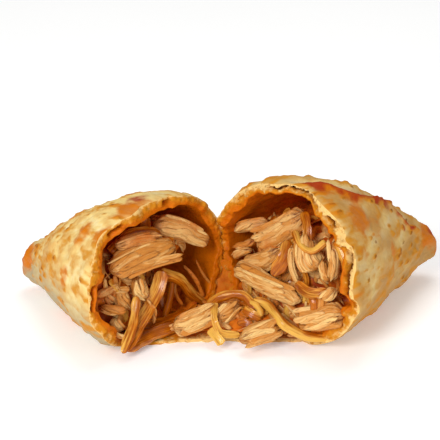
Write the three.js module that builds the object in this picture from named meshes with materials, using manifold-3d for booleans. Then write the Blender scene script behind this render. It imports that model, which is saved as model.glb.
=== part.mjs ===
// A baked chicken empanada, torn open in the middle. Two half shells of crust still meet at the back
// and share the bottom crust, so the pair stands open like a wedge. Shredded chicken and onion fill
// both shells and spill onto the bottom crust between them. Millimetres, +Z up, the mouths face -Y.
import * as THREE from "three";
import { mergeVertices } from "three/addons/utils/BufferGeometryUtils.js";
import Module from "manifold-3d";

const wasm = await Module();
wasm.setup();

// Crust: each half is measured in its own frame, where "across" runs along the torn edge from the
// hinge at the back to the front, "in" runs from the torn edge to the tip, and "up" is vertical.
const HALVES = {
  right: {
    side: 1, // +1 lies to the right, -1 to the left
    open: 43, // degrees that the half is turned away from a straight empanada
    length: 73, // torn edge to tip
    across: 57, // width at the torn edge
    height: 51,
    tipAcross: 32, // where the tip lies across
    tipUp: 10, // height of the tip's centre
    tipRadius: 5,
    frontFall: 1, // how late the front, back and top fall off to the tip
    backFall: 1.9,
    topFall: 1.68,
    shoulder: 1.85, // roundness over the back, where the halves meet
    tearPhase: 0.6,
  },
  left: {
    side: -1,
    open: 46,
    length: 62,
    across: 58,
    height: 47,
    tipAcross: 31,
    tipUp: 7.8,
    tipRadius: 5.3,
    frontFall: 1.2,
    backFall: 1.9,
    topFall: 1.62,
    shoulder: 1.98,
    tearPhase: 2.9,
  },
};
const HINGE = { x: -3.28, y: 3.71 }; // where both torn edges meet at the back
const HINGE_LAP = 1.5; // each half runs this far into the other at the hinge
const WALL = 3;
const FLOOR = 2.8; // bottom crust inside a half
const FLAT_SPOT = 1; // how much of the round underside is pressed flat
const ROUNDNESS = 2.2; // exponent of the section's outline, 2 is an ellipse
const TOP_SWELL = 0.06; // the dome rises a little behind the torn edge
const FALL_BLUNT = 0.85; // below 1 keeps the back and top full towards the tip
const UNDERSIDE_FALL = 1.6;
const MIDDLE_SHIFT = { across: 1.3, up: 1.2 }; // how the section's middle moves over to the tip
const TIP = { from: 0.7, full: 0.9, closes: 0.86, ends: 0.955 }; // where its bead lies, as shares of q
const TIP_JOIN = 3; // how sharply the bead and the dome meet, more is sharper
const HOLLOW = { ends: 0.8, closes: 0.7 }; // share of the length that is hollow, and where it rounds off
const TEAR_DEPTH = [1.0, 0.6, 0.4]; // waves of the torn edge, along the crust
const TEAR_WAVES = [3, 7, 11];
const TEAR_FADES = 8; // the torn edge's waves die out this fast behind it
const SIDES_ROUND = 26;
const ROWS_OUT = 13;
const ROWS_IN = 7;
const ROWS_RIM = 2;

// Rope edge, pinched along the back of each half.
const ROPE = {
  pitch: 7.3,
  angle: 212, // degrees round the section, 180 is the back and 270 the underside
  lobe: [5.6, 5, 3.4], // radii along the rope, out of the crust and across both
  slant: 43, // degrees
  shrink: 0.8, // size of the lobes at the hinge and at the tip
  off: 1.6, // how far a lobe's middle stands off the crust
  from: 5, // distance from the hinge to the first lobe
  to: 0.88, // share of the length where the rope has run into the tip
  step: 0.002, // share of the length between two looks along its curve
};

// Bottom crust in the wedge between the halves.
const FLAP_BACK = -166; // degrees round the section
const FLAP_FRONT = -77;
const FLAP_WAVE = 2.5;
const FLAP_INSET = 1.5; // how far it runs into each half
const FLAP_ROOM = { under: 2, front: 1.5 }; // millimetres and degrees kept clear round it

// Filling.
const GAP = 0.45; // clearance between filling and crust
const MOUTH_REACH = { left: 4, right: 10 }; // how far filling may bulge straight out of a half
const MOUTH_NARROWING = 0.03; // share of the section lost with each millimetre of that
const WEDGE = { off: 2.9, from: 3.2, to: 62, top: 44 }; // where pieces may spill: clear of the torn edges
const FACE = new THREE.Vector3(0, -0.9, 0.4).normalize(); // pieces turn their broad side here
const TABLE_GAP = 0.3;
const FAR = 120;
const SPLIT = { x: -14.5, gap: 0.35 }; // where the filling of the two halves parts, from the hinge

// Shreds of chicken: [from, to, width, thickness], ends as [x, y, z] from the hinge's foot.
const RIGHT_SHREDS = [
  [[12, -4, 27], [26, -13, 39], 9, 7],
  [[13, -3, 25], [25, -12, 32], 6, 5],
  [[4, 1, 27], [15, -3, 32], 4.5, 4],
  [[4, 0, 22], [11, -2, 26], 3, 3],
  [[4, -1, 19], [10, -4, 23], 3, 3],
  [[26, -20, 35], [29, -27, 26], 9, 5],
  [[23, -16, 29], [25, -21, 23], 5, 5],
  [[7, -5, 19], [19, -11, 26], 7, 6],
  [[5, -6, 17.5], [24, -26, 16], 6.5, 6],
  [[34, -28, 36], [34, -30, 24], 4, 4],
  [[31, -30, 18], [35, -32, 22], 4, 3.5],
  [[24, -23, 8], [38, -31, 15], 9, 8],
  [[8, -32, 4.5], [19, -27, 8], 8.5, 7],
  [[-13, -25, 6], [-3, -21, 8], 6.5, 6],
  [[-1, -17, 6], [7, -15, 9], 8, 6],
];
const LEFT_SHREDS = [
  [[-33, -29, 28], [-14, -16, 26], 9, 6.5],
  [[-32, -26, 33], [-19, -17, 31], 4.5, 5],
  [[-20, -13, 35], [-4, -4, 25], 9.5, 6.5],
  [[-21, -13, 33], [-15, -14, 24], 4, 3.5],
  [[-31, -25, 20], [-28, -26, 12], 5, 4.5],
  [[-28, -20, 18], [-26, -22, 10], 4, 4],
  [[-26, -23, 22], [-23, -22, 14], 5.5, 5],
  [[-37, -31, 16], [-29, -28, 13], 3.5, 3.5],
  [[-36, -28, 19], [-33, -28, 15], 4, 3.5],
  [[-33, -29, 11], [-30, -30, 7], 3.5, 3.5],
];

// Strips of onion: [points along it, width, thickness].
const RIGHT_STRIPS = [
  [[[22, -19, 35], [24, -24, 34], [28, -27, 34], [32, -28, 38]], 2.6, 1.8],
  [[[26, -17, 40], [27, -21, 37], [28, -23, 34]], 5, 1.8],
  [[[20, -15, 28], [19, -16, 24], [17, -18, 20]], 5, 1.8],
  [[[35, -29, 37], [38, -33, 31], [39, -35, 24]], 3.2, 1.8],
  [[[25, -26, 20], [30, -31, 18]], 5, 2],
  [[[-4, -16, 9], [0, -15, 12], [7, -16, 13], [11, -21, 10]], 3, 1.8],
  [[[-2, -18, 11], [-2, -26, 9], [0, -27, 5], [6, -27, 4]], 2.4, 1.6],
  [[[11, -21, 11], [15, -24, 10], [20, -28, 8], [28, -28, 5], [34, -28, 4]], 3, 1.8],
];
const LEFT_STRIPS = [
  [[[-19, -18, 21], [-13, -14, 17], [-9, -10, 10], [-5, -7, 5]], 4, 1.8],
  [[[-19, -17, 19], [-21, -21, 10]], 3, 1.8],
  [[[-27, -27, 14], [-28, -33, 9], [-29, -37, 4.5]], 4.5, 1.8],
  [[[-19, -15, 12], [-17, -15, 6], [-14, -13, 4]], 3, 1.8],
];
// Of a shred, the grooves between its fibres are a share of the radius, its ends a share of its width,
// and its bow and ragged ends shares of its width and length. A strip has a ring of vertices each step.
const SHRED = { sides: 12, rows: 3, groove: 0.13, ends: 0.8, bow: 0.12, ragged: 0.07 };
const STRIP = { sides: 6, step: 2.2, ends: 0.7 };

// The mass under the pieces: [across, up, in] of each lump's centre, and its radii along the same.
// The spill's lumps are [x, y, z] from the hinge's foot.
const RIGHT_LUMPS = [
  [[29, 18, 22], [25, 17, 18]],
  [[28, 17, 40], [24, 20, 20]],
  [[38, 8, 6], [13, 8, 8]],
  [[20, 7, 5], [15, 8, 8]],
];
const LEFT_LUMPS = [
  [[38, 14, 22], [15, 16, 17.5]],
  [[20, 27, 14], [12, 5, 9.5]],
  [[28, 14, 36], [22, 16, 20]],
  [[20, 2, 14], [18, 4, 17]],
];
const SPILL_LUMPS = [
  [[6, -16, 3], [15, 7, 5.5]],
  [[21, -18, 3], [12, 6.5, 6]],
  [[-6, -18, 2], [8, 5, 3.5]],
];
const SAUCE = { depth: 1.6, behind: 4 }; // millimetres, and degrees behind the bottom crust's edge
const LUMP_WAVE = 0.05;
const LUMP_BOXY = 3.2; // 2 is an ellipsoid, more has flatter faces

const radians = THREE.MathUtils.degToRad;
const clamp = (value) => THREE.MathUtils.clamp(value, 0, 1);
const power = (value, exponent) => Math.sign(value) * Math.abs(value) ** exponent;
const roundOff = (share, from) => Math.sqrt(1 - clamp((share - from) / (1 - from)) ** 2);

// Solids.
function solid(geometry) {
  geometry.deleteAttribute("normal");
  geometry.deleteAttribute("uv");
  const merged = mergeVertices(geometry, 1e-4);
  const positions = merged.attributes.position.array;
  const faces = new Uint32Array(merged.index.array);
  const make = () =>
    new wasm.Manifold(
      new wasm.Mesh({ numProp: 3, vertProperties: positions, triVerts: faces }),
    );
  const made = make();
  if (made.volume() > 0) return made;
  for (let i = 0; i < faces.length; i += 3)
    [faces[i], faces[i + 1]] = [faces[i + 1], faces[i]];
  return make();
}

// Moves each vertex of a geometry by a formula that gets its position and its uv.
function shaped(geometry, formula) {
  const position = geometry.attributes.position;
  const uv = geometry.attributes.uv;
  const point = new THREE.Vector3();
  for (let i = 0; i < position.count; i++) {
    point.fromBufferAttribute(position, i);
    const moved = formula(point, uv ? uv.getX(i) : 0, uv ? uv.getY(i) : 0);
    position.setXYZ(i, moved.x, moved.y, moved.z);
  }
  return solid(geometry);
}

// The largest body of a solid, without the hollows that joining sealed in it.
function whole(joined) {
  const bodies = joined.decompose().filter((body) => body.volume() > 0);
  return bodies.reduce((best, body) => (body.volume() > best.volume() ? body : best));
}

function meshOf(name, part, material) {
  const { vertProperties, numProp, triVerts } = part.getMesh();
  const positions = new Float32Array((vertProperties.length / numProp) * 3);
  for (let i = 0; i < positions.length / 3; i++)
    positions.set(vertProperties.subarray(i * numProp, i * numProp + 3), i * 3);
  const geometry = new THREE.BufferGeometry();
  geometry.setAttribute("position", new THREE.BufferAttribute(positions, 3));
  geometry.setIndex(new THREE.BufferAttribute(triVerts, 1));
  const mesh = new THREE.Mesh(geometry, material);
  mesh.name = name;
  return mesh;
}

// One half's outline: q is 0 at the torn edge and 1 at the tip, angle goes round the section from the
// front over the top, and inset moves the outline inwards.
function section(half, q, angle, inset, shrink = 1) {
  const c = Math.cos(angle);
  const s = Math.sin(angle);
  const across = half.across + HINGE_LAP;
  const height = half.height + FLAT_SPOT;
  const bead = half.tipRadius * THREE.MathUtils.smoothstep(q, TIP.from, TIP.full);
  const closing = roundOff(q / TIP.ends, TIP.closes / TIP.ends);
  const joined = (radius) => (radius ** TIP_JOIN + bead ** TIP_JOIN) ** (1 / TIP_JOIN) * closing;
  const wide = c > 0 ? 1 - q ** half.frontFall : (1 - q ** half.backFall) ** FALL_BLUNT;
  const swell = 1 + TOP_SWELL * Math.sin(Math.PI * Math.min(1.6 * q, 1));
  const tall = s > 0 ? (1 - q ** half.topFall) ** FALL_BLUNT * swell : 1 - q ** UNDERSIDE_FALL;
  const radiusAcross = joined((across / 2) * wide);
  const radiusUp = joined((height / 2) * tall);
  const tipMiddle = half.tipAcross + HINGE_LAP;
  const middle = THREE.MathUtils.lerp(across / 2, tipMiddle, q ** MIDDLE_SHIFT.across);
  const level = THREE.MathUtils.lerp(height / 2, half.tipUp + FLAT_SPOT, q ** MIDDLE_SHIFT.up);
  const round = 2 / (c < 0 && s > 0 ? half.shoulder : ROUNDNESS);
  const lowest = inset > 0 ? FLOOR + inset - WALL : 0;
  return {
    across: middle + Math.max(radiusAcross - inset, 0) * shrink * power(c, round) - HINGE_LAP,
    up: Math.max(
      level + Math.max(radiusUp - inset, 0) * shrink * power(s, round) - FLAT_SPOT,
      lowest,
    ),
  };
}

function place(half, across, up, inwards) {
  const c = Math.cos(radians(half.open));
  const s = Math.sin(radians(half.open));
  return new THREE.Vector3(
    HINGE.x + half.side * (across * c + inwards * s),
    HINGE.y - across * s + inwards * c,
    up,
  );
}

// How far the torn edge stands out from the plane of the break.
function tear(half, angle) {
  return TEAR_WAVES.reduce(
    (sum, waves, i) => sum + TEAR_DEPTH[i] * Math.sin(waves * angle + half.tearPhase * (i + 1)),
    0,
  );
}

// Share of the length at each row, closer together near the tip.
const outerShare = (row) =>
  TIP.ends * Math.max(Math.cos((row / ROWS_OUT) * (Math.PI / 2)), 0) ** 0.8;
const hollowShare = (row) => 1 - (1 - row / ROWS_IN) ** 1.4;

function shell(half) {
  const rows = ROWS_OUT + ROWS_RIM + ROWS_IN;
  return shaped(new THREE.SphereGeometry(1, SIDES_ROUND, rows), (_, u, v) => {
    const row = Math.round((1 - v) * rows);
    const angle = Math.round(u * SIDES_ROUND) * ((2 * Math.PI) / SIDES_ROUND);
    if (row <= ROWS_OUT) {
      const q = outerShare(row);
      const edge = section(half, q, angle, 0);
      const torn = tear(half, angle) * (1 - q) ** TEAR_FADES;
      return place(half, edge.across, edge.up, q * half.length - torn);
    }
    if (row < ROWS_OUT + ROWS_RIM) {
      const edge = section(half, 0, angle, WALL / 2);
      return place(half, edge.across, edge.up, -tear(half, angle) - WALL / 8);
    }
    const share = hollowShare(row - ROWS_OUT - ROWS_RIM);
    const q = HOLLOW.ends * share;
    const edge = section(half, q, angle, WALL, roundOff(share, HOLLOW.closes));
    const torn = tear(half, angle) * (1 - q) ** (2 * TEAR_FADES);
    return place(half, edge.across, edge.up, q * half.length - torn);
  });
}

// The space that filling may take in a half, and straight in front of its mouth.
function room(half, reach, inset) {
  const reachRows = 2;
  const rows = ROWS_IN + reachRows + 1;
  const end = HOLLOW.ends - GAP / half.length;
  return shaped(new THREE.SphereGeometry(1, SIDES_ROUND, rows), (_, u, v) => {
    const row = Math.round((1 - v) * rows);
    const angle = Math.round(u * SIDES_ROUND) * ((2 * Math.PI) / SIDES_ROUND);
    const share = row <= ROWS_IN ? hollowShare(ROWS_IN - row) : 0;
    const out = reach * clamp((row - ROWS_IN) / reachRows);
    const closed = row === rows ? 0 : 1 - out * MOUTH_NARROWING;
    const edge = section(half, end * share, angle, inset, roundOff(share, HOLLOW.closes) * closed);
    return place(half, edge.across, edge.up, end * share * half.length - out);
  });
}

// One lobe of the rope at a point of the crust, with the rope's direction there.
function lobe(half, at, along, size) {
  const out = new THREE.Vector3(along.y, -along.x, 0).normalize();
  if (out.y < 0) out.negate();
  const up = new THREE.Vector3().crossVectors(along, out).normalize();
  const middle = at.clone().addScaledVector(out, size * ROPE.off);
  return solid(
    new THREE.IcosahedronGeometry(1, 1)
      .scale(...ROPE.lobe.map((radius) => radius * size))
      .rotateY(half.side * radians(ROPE.slant))
      .applyMatrix4(new THREE.Matrix4().makeBasis(along, out, up))
      .translate(...middle.toArray()),
  );
}

// Lobes of the rope along the back of a half, set at equal steps along its curve.
function rope(half) {
  const at = (q) => {
    const edge = section(half, q, radians(ROPE.angle), 0);
    return place(half, edge.across, edge.up, q * half.length);
  };
  const lobes = [];
  let travelled = 0;
  for (let q = ROPE.step; q < ROPE.to; q += ROPE.step) {
    const move = at(q).sub(at(q - ROPE.step));
    travelled += move.length();
    if (travelled < ROPE.from + lobes.length * ROPE.pitch) continue;
    const size = THREE.MathUtils.lerp(1, ROPE.shrink, Math.abs(2 * (q / ROPE.to) - 1) ** 2);
    lobes.push(lobe(half, at(q), move.normalize(), size));
  }
  return lobes;
}

// The bottom crust between the halves: each strip of it spans from one torn edge to the other.
function flap({ lower, upper, margin }) {
  const grid = new THREE.BoxGeometry(1, 1, 1, 10, 9, 1);
  return shaped(grid, ({ x, y, z }) => {
    const share = x + 0.5;
    const wave = FLAP_WAVE * (Math.sin(9 * share + 1) + 0.5 * Math.sin(21 * share));
    const front = FLAP_FRONT + wave * (y + 0.5) + margin;
    const angle = radians(THREE.MathUtils.lerp(FLAP_BACK, front, y + 0.5));
    const inset = z > 0 ? upper : lower;
    const ends = [HALVES.left, HALVES.right].map((half) => {
      const edge = section(half, 0, angle, inset);
      return place(half, edge.across, edge.up, FLAP_INSET);
    });
    return ends[0].lerp(ends[1], share);
  });
}

function crust() {
  const halves = Object.values(HALVES);
  return whole(
    wasm.Manifold.union([
      ...halves.map(shell),
      ...halves.flatMap(rope),
      flap({ lower: 0, upper: WALL, margin: 0 }),
    ]),
  );
}

// Filling pieces.
function fromHinge([x, y, z]) {
  return new THREE.Vector3(HINGE.x + x, HINGE.y + y, z);
}

// A shred: a short rod with a broad side, grooved between its fibres, with ragged ends.
function shred([from, to, width, thickness], index) {
  const start = fromHinge(from);
  const run = fromHinge(to).sub(start);
  const along = run.clone().normalize();
  const deep = FACE.clone().addScaledVector(along, -FACE.dot(along)).normalize();
  const broad = new THREE.Vector3().crossVectors(along, deep);
  const rod = new THREE.CylinderGeometry(1, 1, 1, SHRED.sides, SHRED.rows);
  return shaped(rod, ({ x, y, z }) => {
    const share = y + 0.5;
    const turn = Math.atan2(z, x);
    const radius = Math.hypot(x, z);
    const groove = 1 + SHRED.groove * Math.cos((SHRED.sides / 2) * turn);
    const belly = SHRED.ends + (1 - SHRED.ends) * Math.sin(Math.PI * share);
    const bow = Math.sin(Math.PI * share) * Math.sin(2.4 * index) * width * SHRED.bow;
    const ragged = radius * SHRED.ragged * Math.sin(3 * turn + 1.7 * index) * (2 * share - 1);
    return start
      .clone()
      .addScaledVector(run, share + ragged)
      .addScaledVector(broad, (width / 2) * radius * Math.cos(turn) * groove * belly + bow)
      .addScaledVector(deep, (thickness / 2) * radius * Math.sin(turn) * groove * belly);
  });
}

// A strip of onion along a curve, flat and blunt.
function strip([points, width, thickness]) {
  const curve = new THREE.CatmullRomCurve3(points.map(fromHinge));
  const steps = Math.max(3, Math.round(curve.getLength() / STRIP.step));
  const rod = new THREE.CylinderGeometry(1, 1, 1, STRIP.sides, steps);
  return shaped(rod, ({ x, y, z }) => {
    const share = clamp(y + 0.5);
    const along = curve.getTangentAt(share);
    const deep = FACE.clone().addScaledVector(along, -FACE.dot(along)).normalize();
    const broad = new THREE.Vector3().crossVectors(along, deep);
    const end = STRIP.ends + (1 - STRIP.ends) * Math.sin(Math.PI * share);
    return curve
      .getPointAt(share)
      .addScaledVector(broad, (width / 2) * x * end)
      .addScaledVector(deep, (thickness / 2) * z * end);
  });
}

function lump(centre, radii, turn) {
  const ball = new THREE.IcosahedronGeometry(1, 3);
  return shaped(ball, (point) => {
    const wave = Math.sin(5 * point.x + 1) * Math.sin(6 * point.y) * Math.sin(5 * point.z + 2);
    const sum = point.toArray().reduce((total, one) => total + Math.abs(one) ** LUMP_BOXY, 0);
    return point
      .clone()
      .multiplyScalar((1 + LUMP_WAVE * wave) / sum ** (1 / LUMP_BOXY))
      .multiply(new THREE.Vector3(...radii))
      .applyAxisAngle(new THREE.Vector3(0, 0, 1), turn)
      .add(centre);
  });
}

function lumpIn(half, [[across, up, inwards], radii]) {
  const centre = place(half, across, up, inwards);
  return lump(centre, [radii[0], radii[2], radii[1]], -half.side * radians(half.open));
}

// A prism that stands on the outline's points.
function prism(points, bottom, top) {
  const outline = new THREE.Shape(points.map(({ x, y }) => new THREE.Vector2(x, y)));
  const block = new THREE.ExtrudeGeometry(outline, { depth: top - bottom, bevelEnabled: false });
  return solid(block.translate(0, 0, bottom));
}

// The space between the halves where pieces may lie, clear of the torn edges and the bottom crust.
function wedge() {
  const corner = (half, across) => place(half, across, 0, -WEDGE.off);
  const { left, right } = HALVES;
  const { from, to } = WEDGE;
  const points = [corner(left, from), corner(left, to), corner(right, to), corner(right, from)];
  const bottomCrust = flap({ lower: -FLAP_ROOM.under, upper: WALL + GAP, margin: FLAP_ROOM.front });
  return prism(points, TABLE_GAP, WEDGE.top).subtract(bottomCrust);
}

// A thin slab of sauce on the bottom crust, which joins what lies there.
function sauce() {
  return flap({ lower: WALL - 1, upper: WALL + GAP + SAUCE.depth, margin: -SAUCE.behind });
}

// Everything on one side of an upright plane, x at least or at most a value.
function sideOf(x, side) {
  const far = x + side * FAR;
  const points = [[x, -FAR], [far, -FAR], [far, FAR], [x, FAR]];
  return prism(points.map(([px, py]) => ({ x: px, y: py })), -1, FAR);
}

function leftFilling() {
  const half = HALVES.left;
  const between = wedge().intersect(sideOf(HINGE.x + SPLIT.x - SPLIT.gap / 2, -1));
  const allowed = room(half, MOUTH_REACH.left, WALL + GAP).add(between);
  const pieces = [
    ...LEFT_SHREDS.map(shred),
    ...LEFT_STRIPS.map(strip),
    ...LEFT_LUMPS.map((one) => lumpIn(half, one)),
    sauce(),
  ];
  return whole(wasm.Manifold.union(pieces).intersect(allowed));
}

function rightFilling() {
  const half = HALVES.right;
  const between = wedge().intersect(sideOf(HINGE.x + SPLIT.x + SPLIT.gap / 2, 1));
  const leftRoom = room(HALVES.left, MOUTH_REACH.left + SPLIT.gap, WALL + GAP - SPLIT.gap);
  const allowed = room(half, MOUTH_REACH.right, WALL + GAP).add(between).subtract(leftRoom);
  const pieces = [
    ...RIGHT_SHREDS.map(shred),
    ...RIGHT_STRIPS.map(strip),
    ...RIGHT_LUMPS.map((one) => lumpIn(half, one)),
    ...SPILL_LUMPS.map(([centre, radii]) => lump(fromHinge(centre), radii, 0)),
    sauce(),
  ];
  return whole(wasm.Manifold.union(pieces).intersect(allowed));
}

const material = (color, roughness) =>
  new THREE.MeshStandardMaterial({ color, roughness, metalness: 0 });
const bakedCrust = material(0xdcb673, 0.7);
const shreddedFilling = material(0xc98a4a, 0.45);

const empanada = new THREE.Group();
empanada.add(meshOf("crust", crust(), bakedCrust));
empanada.add(meshOf("filling_left", leftFilling(), shreddedFilling));
empanada.add(meshOf("filling_right", rightFilling(), shreddedFilling));

export default empanada;
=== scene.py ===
# %% [markdown]
# # A torn chicken empanada
#
# This notebook dresses a plain solid model of a baked empanada that was torn open in the middle.
# The two halves still hang together at the back, and shredded chicken and onion lie in both mouths.
# The solid model comes first, because it says where everything is and how large it is.

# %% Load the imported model
import itertools
import math
import random
from types import SimpleNamespace

import bmesh
import bpy
import numpy as np
from mathutils import Matrix, Vector
from mathutils.bvhtree import BVHTree


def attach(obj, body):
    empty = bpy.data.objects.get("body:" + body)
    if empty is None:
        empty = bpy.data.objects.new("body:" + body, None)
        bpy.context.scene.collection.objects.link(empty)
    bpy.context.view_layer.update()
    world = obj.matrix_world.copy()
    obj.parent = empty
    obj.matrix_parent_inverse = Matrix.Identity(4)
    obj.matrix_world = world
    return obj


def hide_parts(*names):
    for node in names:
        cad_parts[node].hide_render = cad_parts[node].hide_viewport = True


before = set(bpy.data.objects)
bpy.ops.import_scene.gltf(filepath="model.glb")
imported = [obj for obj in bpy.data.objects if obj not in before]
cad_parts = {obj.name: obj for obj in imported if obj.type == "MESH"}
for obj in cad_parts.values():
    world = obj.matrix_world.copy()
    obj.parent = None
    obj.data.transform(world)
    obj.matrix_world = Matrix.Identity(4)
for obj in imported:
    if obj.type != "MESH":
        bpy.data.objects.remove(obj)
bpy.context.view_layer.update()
MM = 0.001  # the model is in metres, and this notebook thinks in millimetres
chance = random.Random(7)

# %% [markdown]
# ## Measures of the crust
#
# Each half is measured in its own frame. "Across" runs along the torn edge from the hinge at the
# back to the front, "in" runs from the torn edge to the tip, and "up" is vertical. Writing the
# shape as a formula of these three keeps the detailed crust on the solid one, however fine its
# mesh is.

# %% Sizes of both halves, in millimetres

# Opening is the angle from the plane across the view. A fall of 1 narrows the section evenly
# towards the tip, a larger one keeps it wide for longer. The shoulder shapes the section high up
# at the back, where 2 would be round, and reach is how far the filling may stand out of the mouth.
RIGHT = SimpleNamespace(
    name="right",
    side=1,
    open=math.radians(43),
    length=73,
    across=57,
    height=51,
    tip_across=32,
    tip_up=10,
    tip_radius=5,
    front_fall=1,
    back_fall=1.9,
    top_fall=1.68,
    shoulder=1.85,
    tear_phase=0.6,
    reach=10,
)
LEFT = SimpleNamespace(
    name="left",
    side=-1,
    open=math.radians(46),
    length=62,
    across=58,
    height=47,
    tip_across=31,
    tip_up=7.8,
    tip_radius=5.3,
    front_fall=1.2,
    back_fall=1.9,
    top_fall=1.62,
    shoulder=1.98,
    tear_phase=2.9,
    reach=4,
)
HINGE_X = -3.28
HINGE_Y = 3.71
HINGE_LAP = 1.5
WALL = 3
HALF_WALL = 0.5 * WALL
FLOOR = 2.8
FLAT_SPOT = 1
ROUNDNESS = 2.2  # 2 would be an ellipse
TIP_ENDS = 0.955  # the outside closes at this share of the length
TIP_CLOSES = 0.86
HOLLOW_ENDS = 0.8  # share of the length that is hollow
GAP = 0.45  # clearance between filling and crust
print("lengths of the halves:", LEFT.length, "and", RIGHT.length, "mm")

# %% Curves used all over


def smooth(value, low, high):
    share = np.clip((value - low) / (high - low), 0, 1)
    return share * share * (3 - 2 * share)


def signed_power(value, exponent):
    return np.sign(value) * np.abs(value) ** exponent


def round_off(share, start):
    return np.sqrt(1 - np.clip((share - start) / (1 - start), 0, 1) ** 2)


def blend(first, second, share):
    return first + (second - first) * share


def bell(offset, width):
    return np.exp(-((offset / width) ** 2))


print("a smooth step half way up:", float(smooth(0.5, 0, 1)))

# %% The outline of a half
BEAD = 0.7, 0.9  # the round tip takes over between these shares of the length
SWELL = 0.06  # the dome bulges by this share
SWELL_RATE = 1.6
UNDER_FALL = 1.6
FALL_POWER = 0.85
MIDDLE_POWER = 1.3  # how the section's middle moves from the mouth's to the tip's
LEVEL_POWER = 1.2


def outline(half, q):
    """Middle and radii of the section at a share q of the length, 0 at the torn edge."""
    across = half.across + HINGE_LAP
    height = half.height + FLAT_SPOT
    bead = half.tip_radius * smooth(q, *BEAD)
    closing = round_off(q / TIP_ENDS, TIP_CLOSES / TIP_ENDS)
    swell = 1 + SWELL * np.sin(np.pi * np.minimum(SWELL_RATE * q, 1))
    falls = {
        "front": (across / 2, 1 - q**half.front_fall),
        "back": (across / 2, (1 - q**half.back_fall) ** FALL_POWER),
        "top": (height / 2, (1 - q**half.top_fall) ** FALL_POWER * swell),
        "under": (height / 2, 1 - q**UNDER_FALL),
    }
    radii = {}
    for side, (radius, fall) in falls.items():
        radii[side] = ((radius * fall) ** 3 + bead**3) ** (1 / 3) * closing
    middle = blend(across / 2, half.tip_across + HINGE_LAP, q**MIDDLE_POWER) - HINGE_LAP
    level = blend(height / 2, half.tip_up + FLAT_SPOT, q**LEVEL_POWER) - FLAT_SPOT
    return SimpleNamespace(middle=middle, level=level, **radii)


def section(half, q, angle, inset=0.0, shrink=1.0):
    """Across and up of a point of the crust, angle going from the front over the top."""
    line = outline(half, q)
    c = np.cos(angle)
    s = np.sin(angle)
    wide = np.where(c > 0, line.front, line.back)
    tall = np.where(s > 0, line.top, line.under)
    power = 2 / np.where((c < 0) & (s > 0), half.shoulder, ROUNDNESS)
    across = line.middle + np.maximum(wide - inset, 0) * shrink * signed_power(c, power)
    up = line.level + np.maximum(tall - inset, 0) * shrink * signed_power(s, power)
    return across, np.maximum(up, np.maximum(FLOOR + inset - WALL, 0))


def place(half, across, up, inwards):
    """Points of the model, in millimetres, from a half's own measures."""
    c = math.cos(half.open)
    s = math.sin(half.open)
    x = HINGE_X + half.side * (across * c + inwards * s)
    y = HINGE_Y - across * s + inwards * c
    return np.stack([x, y, up], axis=-1)


def measured(half, points):
    """The reverse of place: across, up and in of points."""
    c = math.cos(half.open)
    s = math.sin(half.open)
    x = half.side * (points[:, 0] - HINGE_X)
    y = points[:, 1] - HINGE_Y
    return x * c - y * s, points[:, 2], x * s + y * c


there_and_back = measured(RIGHT, place(RIGHT, np.array([20]), np.array([10]), np.array([5])))
print("20 across, 10 up and 5 in, placed and measured:", [float(way[0]) for way in there_and_back])

# %% Where points lie in a half
HOLLOW_ROUNDS = 0.7  # the hollow's end rounds off from this share on
MOUTH_NARROWS = 0.03  # by this share for each millimetre in front of the torn edge
NEAR_WALL = 0.6  # points nearer to the middle than this are left alone


def reach_in(half, points, clearance):
    """How far points are from a half's middle line as a share of its hollow, and their measures."""
    across, up, inwards = measured(half, points)
    q = np.clip(inwards / half.length, 0, HOLLOW_ENDS - 0.01)
    line = outline(half, q)
    inset = WALL + clearance
    off_across = across - line.middle
    off_up = up - line.level
    wide = np.where(off_across > 0, line.front, line.back) - inset
    tall = np.where(off_up > 0, line.top, line.under) - inset
    power = np.where((off_across < 0) & (off_up > 0), half.shoulder, ROUNDNESS)
    reach = (np.abs(off_across / wide) ** power + np.abs(off_up / tall) ** power) ** (1 / power)
    narrowed = 1 - MOUTH_NARROWS * np.maximum(-inwards, 0)
    limit = round_off(q / HOLLOW_ENDS, HOLLOW_ROUNDS) * narrowed
    return reach, limit, (line, off_across, off_up, inwards)


def kept_out(half, points):
    """Points of the other half's crust that stand in this half's hollow, moved into its wall."""
    reach, limit, (line, off_across, off_up, inwards) = reach_in(half, points, 0)
    goal = limit + HALF_WALL / np.maximum(line.back, 1)
    inside = (reach < goal) & (reach > NEAR_WALL) & (inwards > -0.5) & (inwards < 0.5 * half.length)
    share = np.where(inside, goal / np.maximum(reach, 1e-6), 1)
    moved = place(half, line.middle + off_across * share, line.level + off_up * share, inwards)
    return np.where(inside[:, None], moved, points)


mouth = outline(RIGHT, np.zeros(1))
print("middle of the right mouth:", mouth.middle[0], "mm across,", mouth.level[0], "mm up")

# %% [markdown]
# ## Unevenness
#
# Dough and meat are uneven at every size. Two patterns give that: smooth noise, blended from
# random slopes at the corners of a grid, and scattered spots, one in each cell of a grid. Blender
# has both, but point by point, and here hundreds of thousands of points are moved, so numpy does
# all at once.

# %% Noise
SLOPES = np.random.default_rng(5).normal(size=(256, 3))
SLOPES /= np.linalg.norm(SLOPES, axis=1, keepdims=True)
SHUFFLED = np.random.default_rng(6).permutation(256)
SPOT_PLACES = np.random.default_rng(7).random((256, 3))


def in_grid(points, size, seed):
    """Points in units of size, moved so that each seed gives another pattern: cell and rest."""
    where = points / size + np.array([7.3, 3.1, 5.7]) * seed
    cell = np.floor(where)
    return cell.astype(int), where - cell


def cell_number(cell):
    """A random-looking number from 0 to 255 for each cell of the grid."""
    x, y, z = (cell % 256).T
    return SHUFFLED[(SHUFFLED[(SHUFFLED[x] + y) % 256] + z) % 256]


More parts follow.
